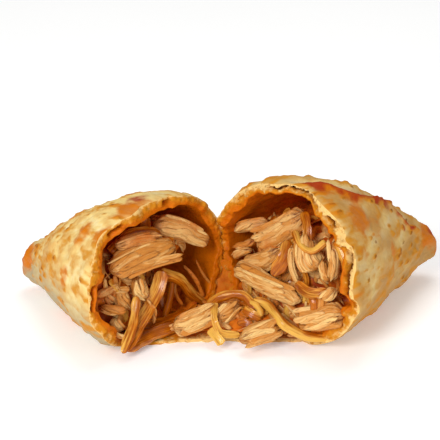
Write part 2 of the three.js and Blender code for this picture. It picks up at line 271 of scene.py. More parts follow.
def noise_at(points, size, seed=0):
    """Smooth noise from -1 to 1 at each point, with bumps about as wide as size."""
    cell, rest = in_grid(points, size, seed)
    fade = rest**3 * (rest * (rest * 6 - 15) + 10)
    total = np.zeros(len(rest))
    for corner in itertools.product((0, 1), repeat=3):
        slope = SLOPES[cell_number(cell + np.array(corner))]
        weight = np.where(corner, fade, 1 - fade).prod(axis=1)
        total += weight * ((rest - corner) * slope).sum(axis=1)
    return total * 1.5


def spots_at(points, size, seed=0):
    """Distance to the nearest of many scattered spots, as a share of size."""
    cell, rest = in_grid(points, size, seed)
    nearest = np.full(len(rest), 9.0)
    for step in itertools.product((-1, 0, 1), repeat=3):
        spot = np.array(step) + SPOT_PLACES[cell_number(cell + np.array(step))]
        nearest = np.minimum(nearest, np.linalg.norm(spot - rest, axis=1))
    return nearest


def mixed_noise(points, seed, waves):
    """A sum of noises, each with a depth, a size and a seed of its own."""
    return sum(depth * noise_at(points, size, seed + own) for depth, size, own in waves)


print("noise at the hinge:", noise_at(np.array([[HINGE_X, HINGE_Y, 0]]), 5)[0])

# %% [markdown]
# ## Small helpers for meshes
#
# Every piece starts from one of bmesh's ready shapes, and a formula moves its points. That is more
# exact than pushing points by hand, and the same formula then fits the filling to the crust. Values
# that a finish needs, such as how baked a point is, are written into layers of the mesh.

# %% Points and values of a bmesh
WELD = 1e-5


def positions(verts):
    return np.array([vert.co[:] for vert in verts])


def move_to(verts, points):
    for vert, point in zip(verts, points.tolist()):
        vert.co = point


def normals_of(bm):
    bm.normal_update()
    return np.array([vert.normal[:] for vert in bm.verts])


def write_layers(bm, **layers):
    """Writes a value for each vertex into each named layer. The grain is a direction."""
    for name, values in layers.items():
        kind = bm.verts.layers.float_vector if name == "grain" else bm.verts.layers.float
        layer = kind.get(name)
        for vert, value in zip(bm.verts, values.tolist()):
            vert[layer] = value


def new_shape(*layers):
    """An empty bmesh with a value layer of each name, and one for the direction of the grain."""
    bm = bmesh.new()
    for name in layers:
        bm.verts.layers.float.new(name)
    bm.verts.layers.float_vector.new("grain")
    return bm


def new_ball(sides, rows, *layers):
    """A ball in rings: its bmesh, and the ring and the turn round it of each vertex.

    A grid is rolled up and welded, because a ready sphere of so many vertices is slow to make.
    """
    bm = new_shape(*layers)
    bmesh.ops.create_grid(bm, x_segments=sides, y_segments=rows, size=1)
    net = positions(bm.verts)
    turn = np.pi * (net[:, 0] + 1)
    down = np.pi * (net[:, 1] + 1) / 2
    wide = np.sin(down)
    ball = np.stack([wide * np.cos(turn), wide * np.sin(turn), np.cos(down)], axis=-1)
    move_to(bm.verts, ball)
    bmesh.ops.remove_doubles(bm, verts=bm.verts, dist=WELD)
    ball = positions(bm.verts)
    ring = np.rint(np.arccos(np.clip(ball[:, 2], -1, 1)) / np.pi * rows).astype(int)
    return bm, ring, np.arctan2(ball[:, 1], ball[:, 0])


def new_slab(cuts, *layers):
    """A finely cut cube: its bmesh, and the place of each vertex in it, from 0 to 1 each way."""
    bm = new_shape(*layers)
    bmesh.ops.create_cube(bm, size=1)
    bmesh.ops.subdivide_edges(bm, edges=bm.edges, cuts=cuts, use_grid_fill=True)
    return bm, positions(bm.verts) + 0.5


def take_in(whole, part):
    """Moves everything of one bmesh into another with the same layers."""
    passing = bpy.data.meshes.new("passing")
    part.to_mesh(passing)
    part.free()
    whole.from_mesh(passing)
    bpy.data.meshes.remove(passing)


# %% From a bmesh to a piece


def add_object(name, data):
    thing = bpy.data.objects.new(name, data)
    bpy.context.scene.collection.objects.link(thing)
    return thing


def make_piece(name, bm, material, slot, *nodes):
    """Turns a bmesh in millimetres into a finished piece that stands for the nodes."""
    bmesh.ops.recalc_face_normals(bm, faces=bm.faces)
    bmesh.ops.scale(bm, vec=(MM, MM, MM), verts=bm.verts)
    mesh = bpy.data.meshes.new(name)
    bm.to_mesh(mesh)
    bm.free()
    mesh.polygons.foreach_set("use_smooth", [True] * len(mesh.polygons))
    mesh.materials.append(material)
    piece = add_object(name, mesh)
    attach(piece, "root")
    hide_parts(*nodes)
    print(name, "has", sum(len(face.vertices) - 2 for face in mesh.polygons), "triangles")
    return piece


# %% [markdown]
# ## Node maths
#
# Materials are sums of patterns. A small class wraps a node's socket, so that a pattern can be
# written as a formula, and every other node comes from one method of the finish it belongs to.
# Wiring the same by hand in the shader editor would take some hundred nodes.

# %% A socket that takes part in sums


class Socket:
    def __init__(self, finish, link):
        self.finish = finish
        self.link = link

    def maths(self, operation, first, second):
        return self.finish.node("ShaderNodeMath", {"operation": operation}, {0: first, 1: second})

    def __add__(self, other):
        return self.maths("ADD", self, other)

    def __radd__(self, other):
        return self.maths("ADD", other, self)

    def __sub__(self, other):
        return self.maths("SUBTRACT", self, other)

    def __rsub__(self, other):
        return self.maths("SUBTRACT", other, self)

    def __mul__(self, other):
        return self.maths("MULTIPLY", self, other)

    def __rmul__(self, other):
        return self.maths("MULTIPLY", other, self)

    def spread(self, amount):
        """Noise from 0 to 1 made to sway this much in all round zero, to break up a border."""
        return (self - 0.5) * amount


# %% A finish and its nodes


def paint(red, green, blue):
    """A colour as a screen shows it, 0 to 255, made linear for the shader."""
    shares = np.array([red, green, blue]) / 255
    curve = np.where(shares <= 0.04045, shares / 12.92, ((shares + 0.055) / 1.055) ** 2.4)
    return (*(float(value) for value in curve), 1.0)


class Finish:
    def __init__(self, name):
        self.material = bpy.data.materials.new(name)
        self.material.use_nodes = True
        self.tree = self.material.node_tree
        self.tree.nodes.clear()

    def node(self, kind, settings=None, sockets=None, output=0):
        made = self.tree.nodes.new(kind)
        for setting, value in (settings or {}).items():
            setattr(made, setting, value)
        for socket, value in (sockets or {}).items():
            if isinstance(value, Socket):
                self.tree.links.new(value.link, made.inputs[socket])
            else:
                made.inputs[socket].default_value = value
        return Socket(self, made.outputs[output]) if len(made.outputs) else made

    def here(self):
        return self.node("ShaderNodeTexCoord", output="Object")

    def value(self, name):
        return self.node("ShaderNodeAttribute", {"attribute_name": name}, output="Fac")

    def vector(self, name):
        return self.node("ShaderNodeAttribute", {"attribute_name": name}, output="Vector")

    def texture(self, where, scale, detail):
        sockets = {"Vector": where, "Scale": scale, "Detail": detail}
        return self.node("ShaderNodeTexNoise", {}, sockets)

    def noise(self, where, size, detail=3, seed=0):
        """Noise from 0 to 1, with patches about as wide as size in millimetres."""
        aside = (seed, seed * 0.37, seed * 0.71)
        moved = self.node("ShaderNodeVectorMath", {"operation": "ADD"}, {0: where, 1: aside})
        return self.texture(moved, 1 / (size * MM), detail)

    def between(self, value, low, high):
        """0 below low, 1 above high, smooth from one to the other."""
        sockets = {"Value": value, "From Min": low, "From Max": high}
        return self.node("ShaderNodeMapRange", {"interpolation_type": "SMOOTHSTEP"}, sockets)

    def mix(self, share, first, second):
        sockets = {0: share, 6: first, 7: second}
        return self.node("ShaderNodeMix", {"data_type": "RGBA"}, sockets, output=2)

    def over(self, base, colour, value, low, high, most=1):
        """A colour over a base, from none at the low value to this much of it at the high one."""
        share = self.between(value, low, high)
        return self.mix(share if most == 1 else share * most, base, colour)

    def bump(self, height, depth, strength=1.0):
        """A dent pattern, its depth in millimetres."""
        sockets = {"Height": height, "Distance": depth * MM, "Strength": strength}
        return self.node("ShaderNodeBump", {}, sockets)

    def close(self, colour, roughness, normal, **constants):
        sockets = {"Base Color": colour, "Roughness": roughness, "Normal": normal}
        for name, value in constants.items():
            sockets[name.replace("_", " ").title().replace("Ior", "IOR")] = value
        shader = self.node("ShaderNodeBsdfPrincipled", {}, sockets)
        self.node("ShaderNodeOutputMaterial", {}, {"Surface": shader})
        return self.material


# %% [markdown]
# ## The finish of baked dough
#
# Baked dough is pale cream where it baked least, golden on most of the dome, and orange to
# red-brown where it blistered. Greyer and tanner colour low down is painted shade, ridge tops are
# painted paler as highlight, and dips and dimples darker as shade. The torn face is pale crumb with
# small pores, with painted shade where its layers part, and the inside of the wall has soaked up
# orange fat and mottled broth, painted a brighter red-orange deeper in for light that comes through
# the crust.
# A painted picture could show all this, but it would need unwrapping and would blur close up. So
# the mesh carries how baked, how torn and how deep inside each point is, and noise breaks up the
# borders.

# %% Crust colours
# The first colour is pale flour, and partly painted highlight on the ridge tops.
FLOUR_AND_HIGHLIGHT = paint(246, 230, 178)
CREAM = paint(238, 206, 130)
DUSTY = paint(222, 172, 96)
GOLD = paint(206, 134, 18)
TAN = paint(188, 136, 68)
SHADE_GREY = paint(176, 158, 124)  # painted shade, greyish, low down
AMBER = paint(206, 112, 6)
RED_BROWN = paint(166, 52, 12)
SPECK_AND_PIT_SHADE = paint(136, 84, 18)  # brown specks, with painted shade, in the dimples
CRUMB = paint(238, 196, 122)
PORE = paint(164, 104, 34)
GAP_SHADE = paint(92, 46, 14)  # painted shade between layers of dough that have parted
RIM = paint(204, 128, 24)
SOAKED = paint(208, 106, 6)
# Deeper in the hollow, and in the split of the torn face, the soaked wall turns a brighter
# red-orange: painted light for light that comes through the crust.
DEEP_LIT_ORANGE = paint(246, 88, 4)
BROTH = paint(150, 60, 8)

# %% Crust material
MATT = 0.08
CRUST_ROUGHNESS = 0.66


def outside_colour(finish, broad, fine, patchy):
    """Colour of the baked surface, and how baked it is."""
    # Painted highlight and shade on the relief: ridge tops are paler and less baked, dips and
    # dimples darker.
    ridge = finish.value("ridge") + fine.spread(0.9)
    dimple = finish.value("dimple")
    patches_and_hollow_shade = patchy + dimple * 0.3 - ridge * 0.22
    baked = finish.value("baked") + patchy.spread(1.7) + fine.spread(0.6) - ridge * 0.32
    scorched = finish.value("scorched") + patchy.spread(0.8) + fine.spread(0.6)
    colour = finish.over(DUSTY, CREAM, ridge + broad.spread(1.4), -0.45, 0.25)
    colour = finish.over(colour, FLOUR_AND_HIGHLIGHT, ridge, 0.05, 0.75, 0.8)
    colour = finish.mix(finish.value("tan") * 0.9, colour, TAN)
    colour = finish.mix(finish.value("grey_tone_and_shade") * 0.95, colour, SHADE_GREY)
    # Gold and amber patches, a little deeper in the dips and dimples as painted shade.
    colour = finish.over(colour, GOLD, patches_and_hollow_shade + fine.spread(0.25), 0.48, 0.68, 0.85)
    colour = finish.over(colour, AMBER, patches_and_hollow_shade + fine.spread(0.4), 0.64, 0.86, 0.6)
    colour = finish.over(colour, SPECK_AND_PIT_SHADE, dimple + fine.spread(1.2), 0.55, 1.05, 0.75)
    colour = finish.over(colour, AMBER, baked, 0.25, 0.95, 0.9)
    return finish.over(colour, RED_BROWN, scorched, 0.4, 1.0, 0.95), baked


def crust_finish():
    finish = Finish("baked_dough")
    here = finish.here()
    broad = finish.noise(here, 17, 4)
    fine = finish.noise(here, 2.4, 4, seed=3)
    grain = finish.noise(here, 0.7, 3, seed=5)
    pores = finish.noise(here, 1.3, 4, seed=12)
    patchy = finish.noise(finish.vector("grain"), 4.2, 4, seed=9)
    torn = finish.value("torn")
    depth = finish.value("depth") + broad.spread(16) + fine.spread(8)

    crumb = finish.over(CRUMB, PORE, pores + fine.spread(0.6), 0.5, 0.72, 0.6)
    crumb = finish.over(crumb, RIM, torn + fine.spread(1.2) + grain.spread(0.3), 0.36, 0.72)
    soaked = finish.over(SOAKED, DEEP_LIT_ORANGE, depth, 8, 34)
    soaked = finish.over(soaked, BROTH, patchy + fine.spread(0.5), 0.47, 0.75, 0.4)
    colour, baked = outside_colour(finish, broad, fine, patchy)
    colour = finish.over(colour, crumb, torn + grain.spread(0.1), 0.08, 0.16)
    colour = finish.over(colour, soaked, torn + fine.spread(0.3), 0.72, 0.95)
    # Painted shade where the layers of the torn face part.
    colour = finish.over(colour, GAP_SHADE, finish.value("gap") + fine.spread(0.7), 0.4, 0.85, 0.85)

    greasy = finish.between(torn, 0.7, 1.0) * 0.25 + finish.between(baked, 0.3, 1) * 0.1
    normal = finish.bump(grain * 0.35 + fine * 0.65, 0.5, 0.8)
    roughness = CRUST_ROUGHNESS + fine.spread(0.35) - greasy
    return finish.close(colour, roughness, normal, specular_ior_level=MATT)


baked_dough = crust_finish()
print("finish:", baked_dough.name, "with", len(baked_dough.node_tree.nodes), "nodes")

# %% [markdown]
# ## The crust's shells
#
# Each half is one closed skin: the outside from the tip to the torn edge, the torn face, and the
# inside of the wall back to where the hollow ends. A sphere has just that layout, a pole at the tip
# and a pole at the hollow's end, so its rows are shared out over the three stretches. Sculpting
# would give the same skin, but a formula can be measured and fits the solid model by itself.

# %% How baked the crust is
NARROWS = 0.8  # the way round a half gets shorter by this share towards the tip
SPOT_CORE = 0.2
SPOT_EDGE = 1.3

# Browned places: share of the length, degrees round the section, radius in millimetres, strength.
BAKED_SPOTS = {
    "left": [
        (0.21, 44, 6, 0.7),
        (0.28, 9, 4, 0.75),
        (0.87, 30, 8, 1.0),
        (0.03, 75, 7, 1.0),
        (0.02, 48, 5, 0.9),
        (0.17, 106, 8, 0.5),
        (0.5, 70, 5, 0.5),
        (0.3, 150, 12, 0.8),
        (0.6, 175, 9, 0.8),
        (0.1, 190, 9, 0.7),
    ],
    "right": [
        (0.17, 47, 9, 0.95),
        (0.22, 66, 8, 0.95),
        (0.08, 78, 7, 0.9),
        (0.27, 36, 8, 0.5),
        (0.02, 62, 5, 0.7),
        (0.4, 16, 3, 0.6),
        (0.1, 15, 3.5, 0.6),
        (0.44, -4, 5, 0.45),
        (0.0, -3, 4, 1.0),
        (0.87, 40, 9, 1.0),
        (0.35, 140, 13, 0.8),
        (0.65, 170, 10, 0.8),
        (0.12, 170, 8, 0.7),
    ],
}
SCORCHED_SPOTS = {
    "left": [(0.1, 86, 5, 0.85), (0.56, 48, 3.5, 0.45), (0.91, 20, 4, 0.6), (0.4, 160, 6, 0.8)],
    "right": [
        (0.07, 81, 5, 1.0),
        (0.17, 70, 3, 0.9),
        (0.24, 63, 3.5, 0.9),
        (0.33, 63, 2.5, 0.8),
        (0.4, 60, 2.5, 0.9),
        (0.48, 58, 3, 0.9),
        (0.57, 57, 4, 1.0),
        (0.61, 44, 2.5, 0.9),
        (0.58, 34, 2, 0.8),
        (0.91, 50, 5, 1.0),
        (0.5, 150, 8, 0.85),
        (0.25, 165, 6, 0.7),
    ],
}


def spot_strength(spots, half, q, angle):
    """How strongly the listed spots reach each point of a half."""
    total = np.zeros(len(q))
    for share, degrees, radius, strength in spots:
        turn = np.abs((np.degrees(angle) - degrees + 180) % 360 - 180)
        round_way = np.radians(turn) * half.height / 2 * (1 - NARROWS * q)
        distance = np.hypot((q - share) * half.length, round_way)
        fading = 1 - smooth(distance, SPOT_CORE * radius, SPOT_EDGE * radius)
        total = np.maximum(total, strength * fading)
    return total


print("browned places:", {name: len(found) for name, found in BAKED_SPOTS.items()})

# %% The crease of the right half
CREASE_STARTS = 86  # degrees round the section
CREASE_SINKS = 24, 26  # it lies this much lower after its start, and again towards its end
CREASE_WIDTH = 1.3
CREASE_DEPTH = 1.1
FOLD_WIDTH = 2.2  # the dough stands up beside the crease
FOLD_OFF = 4


def off_crease(half, q, angle):
    """How far each point is from the crease, in millimetres round the section."""
    first, second = CREASE_SINKS
    crease = CREASE_STARTS - first * smooth(q, 0.0, 0.3) - second * smooth(q, 0.5, 0.66)
    return (angle - np.radians(crease)) * half.height / 2 * (1 - 0.6 * q)


print("the crease sinks to", CREASE_STARTS - sum(CREASE_SINKS), "degrees round the section")

# %% Relief of the crust
HEIGHTS = SimpleNamespace(swell=0.7, ridge=0.85, sink=0.45, blister=0.35, dimple=0.55, pleat=0.35)
WIDTHS = SimpleNamespace(swell=19, sink=8, blister=6.5, blistered=14, dimple=2.8, dimpled=17)
RIDGE_WAVES = (0.6, 5.5, 1), (0.4, 2.4, 3)  # depth, width and seed
FINE_RIDGE = 0.2, 1.1
RELIEF = {"left": 1.0, "right": 1.1}
PLEATS = 7
PLEAT_SLANT = 9


def outer_relief(half, points, long_way, q, angle):
    """Height of the baked surface over its smooth form, its ridges, blisters and dimples."""
    seed = 1 if half is LEFT else 4
    ridge = mixed_noise(long_way, seed, RIDGE_WAVES)
    ridge += FINE_RIDGE[0] * noise_at(points, FINE_RIDGE[1], seed + 4)
    height = HEIGHTS.swell * noise_at(points, WIDTHS.swell, seed) + HEIGHTS.ridge * ridge
    height -= HEIGHTS.sink * smooth(noise_at(points, WIDTHS.sink, seed + 2), 0.2, 0.6)
    blister = 1 - smooth(spots_at(points, WIDTHS.blister, seed + 5), 0.12, 0.36)
    blister *= smooth(noise_at(points, WIDTHS.blistered, seed + 6), -0.05, 0.3)
    height += HEIGHTS.blister * blister
    pitted = smooth(noise_at(points, WIDTHS.dimpled, seed + 8), -0.35, 0.15)
    dimple = (1 - smooth(spots_at(long_way, WIDTHS.dimple, seed + 7), 0.08, 0.46)) * pitted
    height -= HEIGHTS.dimple * dimple
    slanted = PLEATS * angle + PLEAT_SLANT * q + noise_at(points, 9, seed)
    pleats = np.sin(slanted) * smooth(q, 0.5, 0.8)
    height += HEIGHTS.pleat * pleats * (1 - smooth(q, 0.9, 0.95))
    if half is RIGHT:
        off = off_crease(half, q, angle)
        stretch = smooth(q, 0.02, 0.1) * (1 - smooth(q, 0.68, 0.8))
        raised = CREASE_DEPTH * bell(off - FOLD_OFF, FOLD_WIDTH)
        fold = raised - CREASE_DEPTH * bell(off, CREASE_WIDTH)
        height += stretch * fold
        # The fold beside the crease also counts as ridge, which paints it paler as highlight.
        ridge += 0.8 * stretch * fold
    height *= RELIEF[half.name] * (1 - 0.75 * smooth(q, 0.84, 0.94))
    return height, ridge, blister, dimple


# %% The torn edge
AROUND = 380
ALONG = 250
OUTSIDE = 0.52  # shares of the ball's rows
TORN_FACE = 0.60
RIM_WAVES = (0.8, 0.42, 0), (0.55, 0.17, 1)  # widths here are shares of the section's radius
THIN_WAVES = (0.9, 0.4, 3), (0.5, 0.13, 6)
RIM_ROUGHNESS = {"left": 0.7, "right": 1.5}
RIM_TEETH = {"left": 0.25, "right": 0.7}
RIM_FRONT = {"left": 0.35, "right": 0.75}
RIM_SPREAD = {"left": 2.2, "right": 2.1}  # how far the torn face reaches in, in millimetres
SPLIT_FROM = {"left": (0.15, 0.35), "right": (-0.2, 0.05)}  # where the layers of the torn face part
SPLIT_WIDTH = 0.17
SPLIT_DEPTH = 3.2
FLAKE = 1.1
TEAR_WAVES = (1.0, 3), (0.6, 7), (0.4, 11)  # depth in millimetres, and waves round the section


def shell_rows(ring):
    """Where each ring lies: outside, on the torn face or inside, and its share of the length."""
    row = ring / ALONG
    outside = row <= OUTSIDE
    inside = np.clip((row - TORN_FACE) / (1 - TORN_FACE), 0, 1)
    hollow = 1 - (1 - inside) ** 1.4
    outer_q = TIP_ENDS * np.maximum(np.cos(np.clip(row / OUTSIDE, 0, 1) * np.pi / 2), 0) ** 0.8
    return SimpleNamespace(
        outside=outside,
        face=np.clip((row - OUTSIDE) / (TORN_FACE - OUTSIDE), 0, 1),
        inside=inside,
        q=np.where(outside, outer_q, HOLLOW_ENDS * hollow),
        shrink=np.where(inside > 0, round_off(hollow, HOLLOW_ROUNDS), 1.0),
    )


def near_hinge(angle):
    return smooth(-np.cos(angle), 0.35, 0.85)


def tear(half, angle):
    """How far the torn edge as a whole waves out of the plane of the break."""
    total = 0
    for order, (depth, wave) in enumerate(TEAR_WAVES, start=1):
        total = total + depth * np.sin(wave * angle + half.tear_phase * order)
    return total


waving = tear(RIGHT, np.linspace(0, 2 * np.pi, 361))
print("the torn edge waves by up to", np.abs(waving).max(), "mm")


def torn_edge(half, rows, angle, seed):
    """The wall's inset, how far the edge stands out of the plane of the break, and its split."""
    name, face, inside, q = half.name, rows.face, rows.inside, rows.q
    circle = np.stack([np.cos(angle), np.sin(angle), np.full(len(angle), seed)], axis=-1)
    ragged = mixed_noise(circle, seed, RIM_WAVES)
    rough_stretch = smooth(noise_at(circle, 0.5, seed + 4), -0.2, 0.3)
    ragged += RIM_ROUGHNESS[name] * 0.5 * noise_at(circle, 0.06, seed + 5) * rough_stretch
    ragged += FLAKE * smooth(noise_at(circle, 0.3, seed + 2), 0.12, 0.3)

    thinning = mixed_noise(circle, seed, THIN_WAVES)
    inset = WALL * face - np.clip(np.abs(thinning), 0, 1.0) * face * (1 - inside) ** 8
    teeth = RIM_TEETH[name] * noise_at(circle, 0.11, seed + 10)
    front_side = RIM_FRONT[name] * smooth(np.cos(angle), 0.1, 0.8)
    thicker = np.clip(1.1 * noise_at(circle, 0.4, seed + 9) + teeth + 0.35 + front_side, 0, 1.6)
    inset += RIM_SPREAD[name] * thicker * face * (1 - inside) ** 10

    middle_line = 0.52 + 0.3 * noise_at(circle, 0.22, seed + 12)
    split = bell(face - middle_line, SPLIT_WIDTH) * (inside <= 0)
    split *= smooth(noise_at(circle, 0.3, seed + 11), *SPLIT_FROM[name]) * (1 - near_hinge(angle))
    split *= smooth(np.sin(angle), -0.65, -0.35)
    slope = 0.5 * np.sin(np.pi * face)
    slope += 0.5 * noise_at(circle, 0.25, seed + 7) * face * (inside <= 0)
    slope -= SPLIT_DEPTH * split
    fading = np.where(rows.outside, (1 - q) ** 8, (1 - q) ** 16)
    return inset, (tear(half, angle) + ragged * (1 - q) ** 20) * fading + slope, split


# %% Relief and browning of a shell
CRAG_WAVES = (0.5, 1.6, 5), (0.4, 0.7, 6)
CRAG_HEIGHT = 1.25
LINING_WAVES = (0.35, 5, 7), (0.15, 1.5, 8)
TAN_SHARE = {"left": 0.05, "right": 0.55}  # the right half is browner all over
PATCHINESS = {"left": 0.15, "right": 0.6}
LOW_DOWN = 5, 28  # heights in millimetres between which painted shade grows towards the bottom
# Painted shade low down: how much tan and grey each half gets there.
LOW_SHADE_TAN = {"left": 0.15, "right": 0.75}
LOW_SHADE_GREY = {"left": 1.0, "right": 0.15}
CRUMB_BORDER = {"left": 0.36, "right": 1.7}  # below 1 the soaked part of the torn face is wider
HINGE_BORDER = 0.36


def shell_relief(half, rows, points, seed, baked_height):
    """Height of each point: baked outside, craggy on the torn face, gently uneven inside."""
    crags = mixed_noise(points, seed, CRAG_WAVES)
    crags *= RIM_ROUGHNESS[half.name] * CRAG_HEIGHT
    lining = mixed_noise(points, seed, LINING_WAVES)
    face_share = np.sin(np.pi * np.clip(rows.face, 0, 1))
    height = np.where(rows.outside, baked_height * smooth(rows.q, 0, 0.03), 0) + crags * face_share
    height += np.where(rows.inside > 0, lining * smooth(rows.inside, 0, 0.05), 0)
    return np.where(points[:, 2] < 0.6, np.minimum(height, 0) * 0.2, height)


def browning(half, q, angle, points, long_way, blister, seed):
    """How baked, scorched and tanned each point is, and how grey, with painted shade low down."""
    name = half.name
    at_end = 0.9 * smooth(q, 0.82, 0.95)
    at_foot = 0.6 * (1 - smooth(points[:, 2], 0.3, 4))
    spots = spot_strength(BAKED_SPOTS[name], half, q, angle)
    baked = np.maximum.reduce([spots, 0.3 * blister, at_foot, at_end])
    scorched = spot_strength(SCORCHED_SPOTS[name], half, q, angle)
    scorched = np.maximum(scorched, 0.7 * smooth(q, 0.92, 0.955))
    if half is RIGHT:
        baked *= 0.4 + 0.6 * smooth(q, 0.01, 0.09)
        # A scorched line along the crease, partly painted shade in its groove.
        line = smooth(q, 0.02, 0.1) * (1 - smooth(q, 0.66, 0.72))
        in_crease = bell(off_crease(half, q, angle), CREASE_WIDTH)
        scorched = np.maximum(scorched, 0.85 * line * in_crease)
    # Painted shade: tan and grey grow towards the bottom, over random tan and grey patches.
    low = 1 - smooth(points[:, 2], *LOW_DOWN)
    tan = TAN_SHARE[name] + 0.25 * noise_at(points, 22, seed + 9)
    tan += PATCHINESS[name] * noise_at(long_way, 7, seed + 10)
    tan += LOW_SHADE_TAN[name] * low
    grey_tone_and_shade = LOW_SHADE_GREY[name] * low + 0.2 * noise_at(points, 12, seed + 11)
    return {
        "baked": baked,
        "scorched": scorched,
        "tan": np.clip(tan, 0, 1),
        "grey_tone_and_shade": np.clip(grey_tone_and_shade, 0, 1),
    }


def tornness(half, rows, angle, split):
    """0 on the baked outside, rising over the torn face to 1 where it is soaked like the inside."""
    border = blend(CRUMB_BORDER[half.name], HINGE_BORDER, near_hinge(angle))
    border = blend(border, np.minimum(border, 0.5), smooth(-np.sin(angle), -0.4, 0.1))
    return np.where(rows.outside, 0, np.maximum(0.2 + 0.8 * rows.face**border, split))


# %% Build the shells
LENGTHWISE = 0.42  # patterns are drawn out along a half by one over this


def crust_piece(name, bm):
    return make_piece(name, bm, baked_dough, "baked_crust", "crust")


def crust_shell(half):
    layers = "baked", "scorched", "torn", "depth", "dimple", "ridge", "tan", "grey_tone_and_shade", "gap"
    bm, ring, angle = new_ball(AROUND, ALONG, *layers)
    rows = shell_rows(ring)
    seed = half.side + 2
    inset, stands_out, split = torn_edge(half, rows, angle, seed)
    across, up = section(half, rows.q, angle, inset, rows.shrink)
    inwards = rows.q * half.length
    points = place(half, across, up, inwards - stands_out)
    points = kept_out(LEFT if half is RIGHT else RIGHT, points)
    move_to(bm.verts, points)
    bmesh.ops.recalc_face_normals(bm, faces=bm.faces)
    normals = normals_of(bm)

    long_way = np.stack([across, up, inwards * LENGTHWISE], axis=-1)
    height, ridge, blister, dimple = outer_relief(half, points, long_way, rows.q, angle)
    points = points + normals * shell_relief(half, rows, points, seed, height)[:, None]
    points[:, 2] = np.maximum(points[:, 2], 0)
    move_to(bm.verts, points)

    depth = np.where(rows.inside > 0, inwards, 30 * split)
    torn = tornness(half, rows, angle, split)
    write_layers(bm, **browning(half, rows.q, angle, points, long_way, blister, seed))
    write_layers(bm, torn=torn, depth=depth, gap=split)
    write_layers(bm, dimple=dimple, ridge=ridge, grain=long_way * MM)
    return crust_piece("crust_" + half.name, bm)


for half in (LEFT, RIGHT):
    crust_shell(half)

# %% [markdown]
# ## The rope edge
#
# An empanada is closed by folding its edge over in small slanted tongues, one over the last. They
# run along the back of both halves. One twisted cord would look too even, so each tongue is a ball
# of its own, drawn out and turned on the crust's curve, wide at its root and thin at its end, as a
# finger leaves it.

# %% Where the tongues sit
ROPE_ANGLE = math.radians(212)
ROPE_PITCH = 7.3
ROPE_FROM = 5
ROPE_TO = 0.88  # share of the length
ROPE_STEP = 0.002


def rope_line(half):
    """Places along the back of a half, at equal steps: point, direction and size of each tongue."""
    shares = np.arange(0, ROPE_TO, ROPE_STEP)
    across, up = section(half, shares, np.full(len(shares), ROPE_ANGLE))
    points = place(half, across, up, shares * half.length)
    steps = np.linalg.norm(np.diff(points, axis=0), axis=1)
    travelled = np.concatenate([[0], np.cumsum(steps)])
    stations = []
    for index in range(1, len(shares)):
        if travelled[index] < ROPE_FROM + len(stations) * ROPE_PITCH:
            continue
        size = blend(1, 0.8, abs(2 * shares[index] / ROPE_TO - 1) ** 2)
        along = Vector(points[index] - points[index - 1]).normalized()
        stations.append((Vector(points[index]), along, size))
    return stations


print("tongues of the rope:", len(rope_line(LEFT)), "and", len(rope_line(RIGHT)))

# %% Build the rope
TONGUE_SIDES = 44
TONGUE_ROWS = 30
TONGUE_RADII = 5.6, 5.0, 3.4
TONGUE_THINS = 0.22
TONGUE_SHEAR = 0.5
TONGUE_SLANT = math.radians(43)
TONGUE_OFF = 1.6  # how far its middle stands out of the crust
ROPE_TAN = 0.35


def tongue_points(half, ball, station, number):
    """The points of a ball made a tongue of the rope, at its place along the back."""
    at, along, size = station
    out = Vector((along.y, -along.x, 0)).normalized()
    if out.y < 0:
        out.negate()
    up = along.cross(out).normalized()
    fold = 0.07 * np.sin(7 * ball[:, 2] + 2 * ball[:, 0]) + 0.05 * noise_at(ball, 0.5, number)
    shaped = ball * (np.array(TONGUE_RADII) * size) * (1 + fold[:, None])
    shaped[:, 2] *= 1 - TONGUE_THINS * ball[:, 0] * half.side
    shaped[:, 1] += TONGUE_SHEAR * ball[:, 0] * ball[:, 2]
    slant = Matrix.Rotation(half.side * TONGUE_SLANT, 3, "Y")
    turned = shaped @ np.array(slant.transposed())
    middle = at + out * (size * TONGUE_OFF)
    points = turned @ np.array([along[:], out[:], up[:]]) + np.array(middle[:])
    points += (0.16 * noise_at(points, 2.2, number))[:, None] * ball
    points = kept_out(LEFT, kept_out(RIGHT, points))
    points[:, 2] = np.maximum(points[:, 2], 0.05)
    return points


def rope(half):
    layers = "baked", "scorched", "tan"
    bm = new_shape(*layers)
    for number, station in enumerate(rope_line(half)):
        tongue, _, _ = new_ball(TONGUE_SIDES, TONGUE_ROWS, *layers)
        ball = positions(tongue.verts)
        points = tongue_points(half, ball, station, number)
        move_to(tongue.verts, points)
        crown = smooth(ball[:, 1], 0.1, 0.9)
        baked = 0.35 + 0.45 * crown + 0.25 * noise_at(points, 6, number)
        scorched = 0.7 * crown * smooth(noise_at(points, 9, 3), -0.1, 0.4)
        tan = np.full(len(points), ROPE_TAN)
        write_layers(tongue, baked=baked, scorched=scorched, tan=tan, grain=points * MM)
        take_in(bm, tongue)
    return crust_piece("rope_" + half.name, bm)


for half in (LEFT, RIGHT):
    rope(half)

# %% [markdown]
# ## The bottom crust between the halves
#
# The underside didn't tear all the way, so a flat tongue of crust joins the halves under the
# filling. A flat plate would leave a gap or a step at the halves, so a finely cut cube becomes the
# tongue: each of its strips spans from one torn edge to the other, and its front edge is ragged.

# %% Build the bottom crust
FLAP_BACK = -166  # degrees round the section
FLAP_FRONT = -77
FLAP_LAPS = 1.5  # millimetres into each half
FLAP_CUTS = 47
FLAP_WAVES = (0.8, 2.2, 0), (0.5, 0.9, 1)


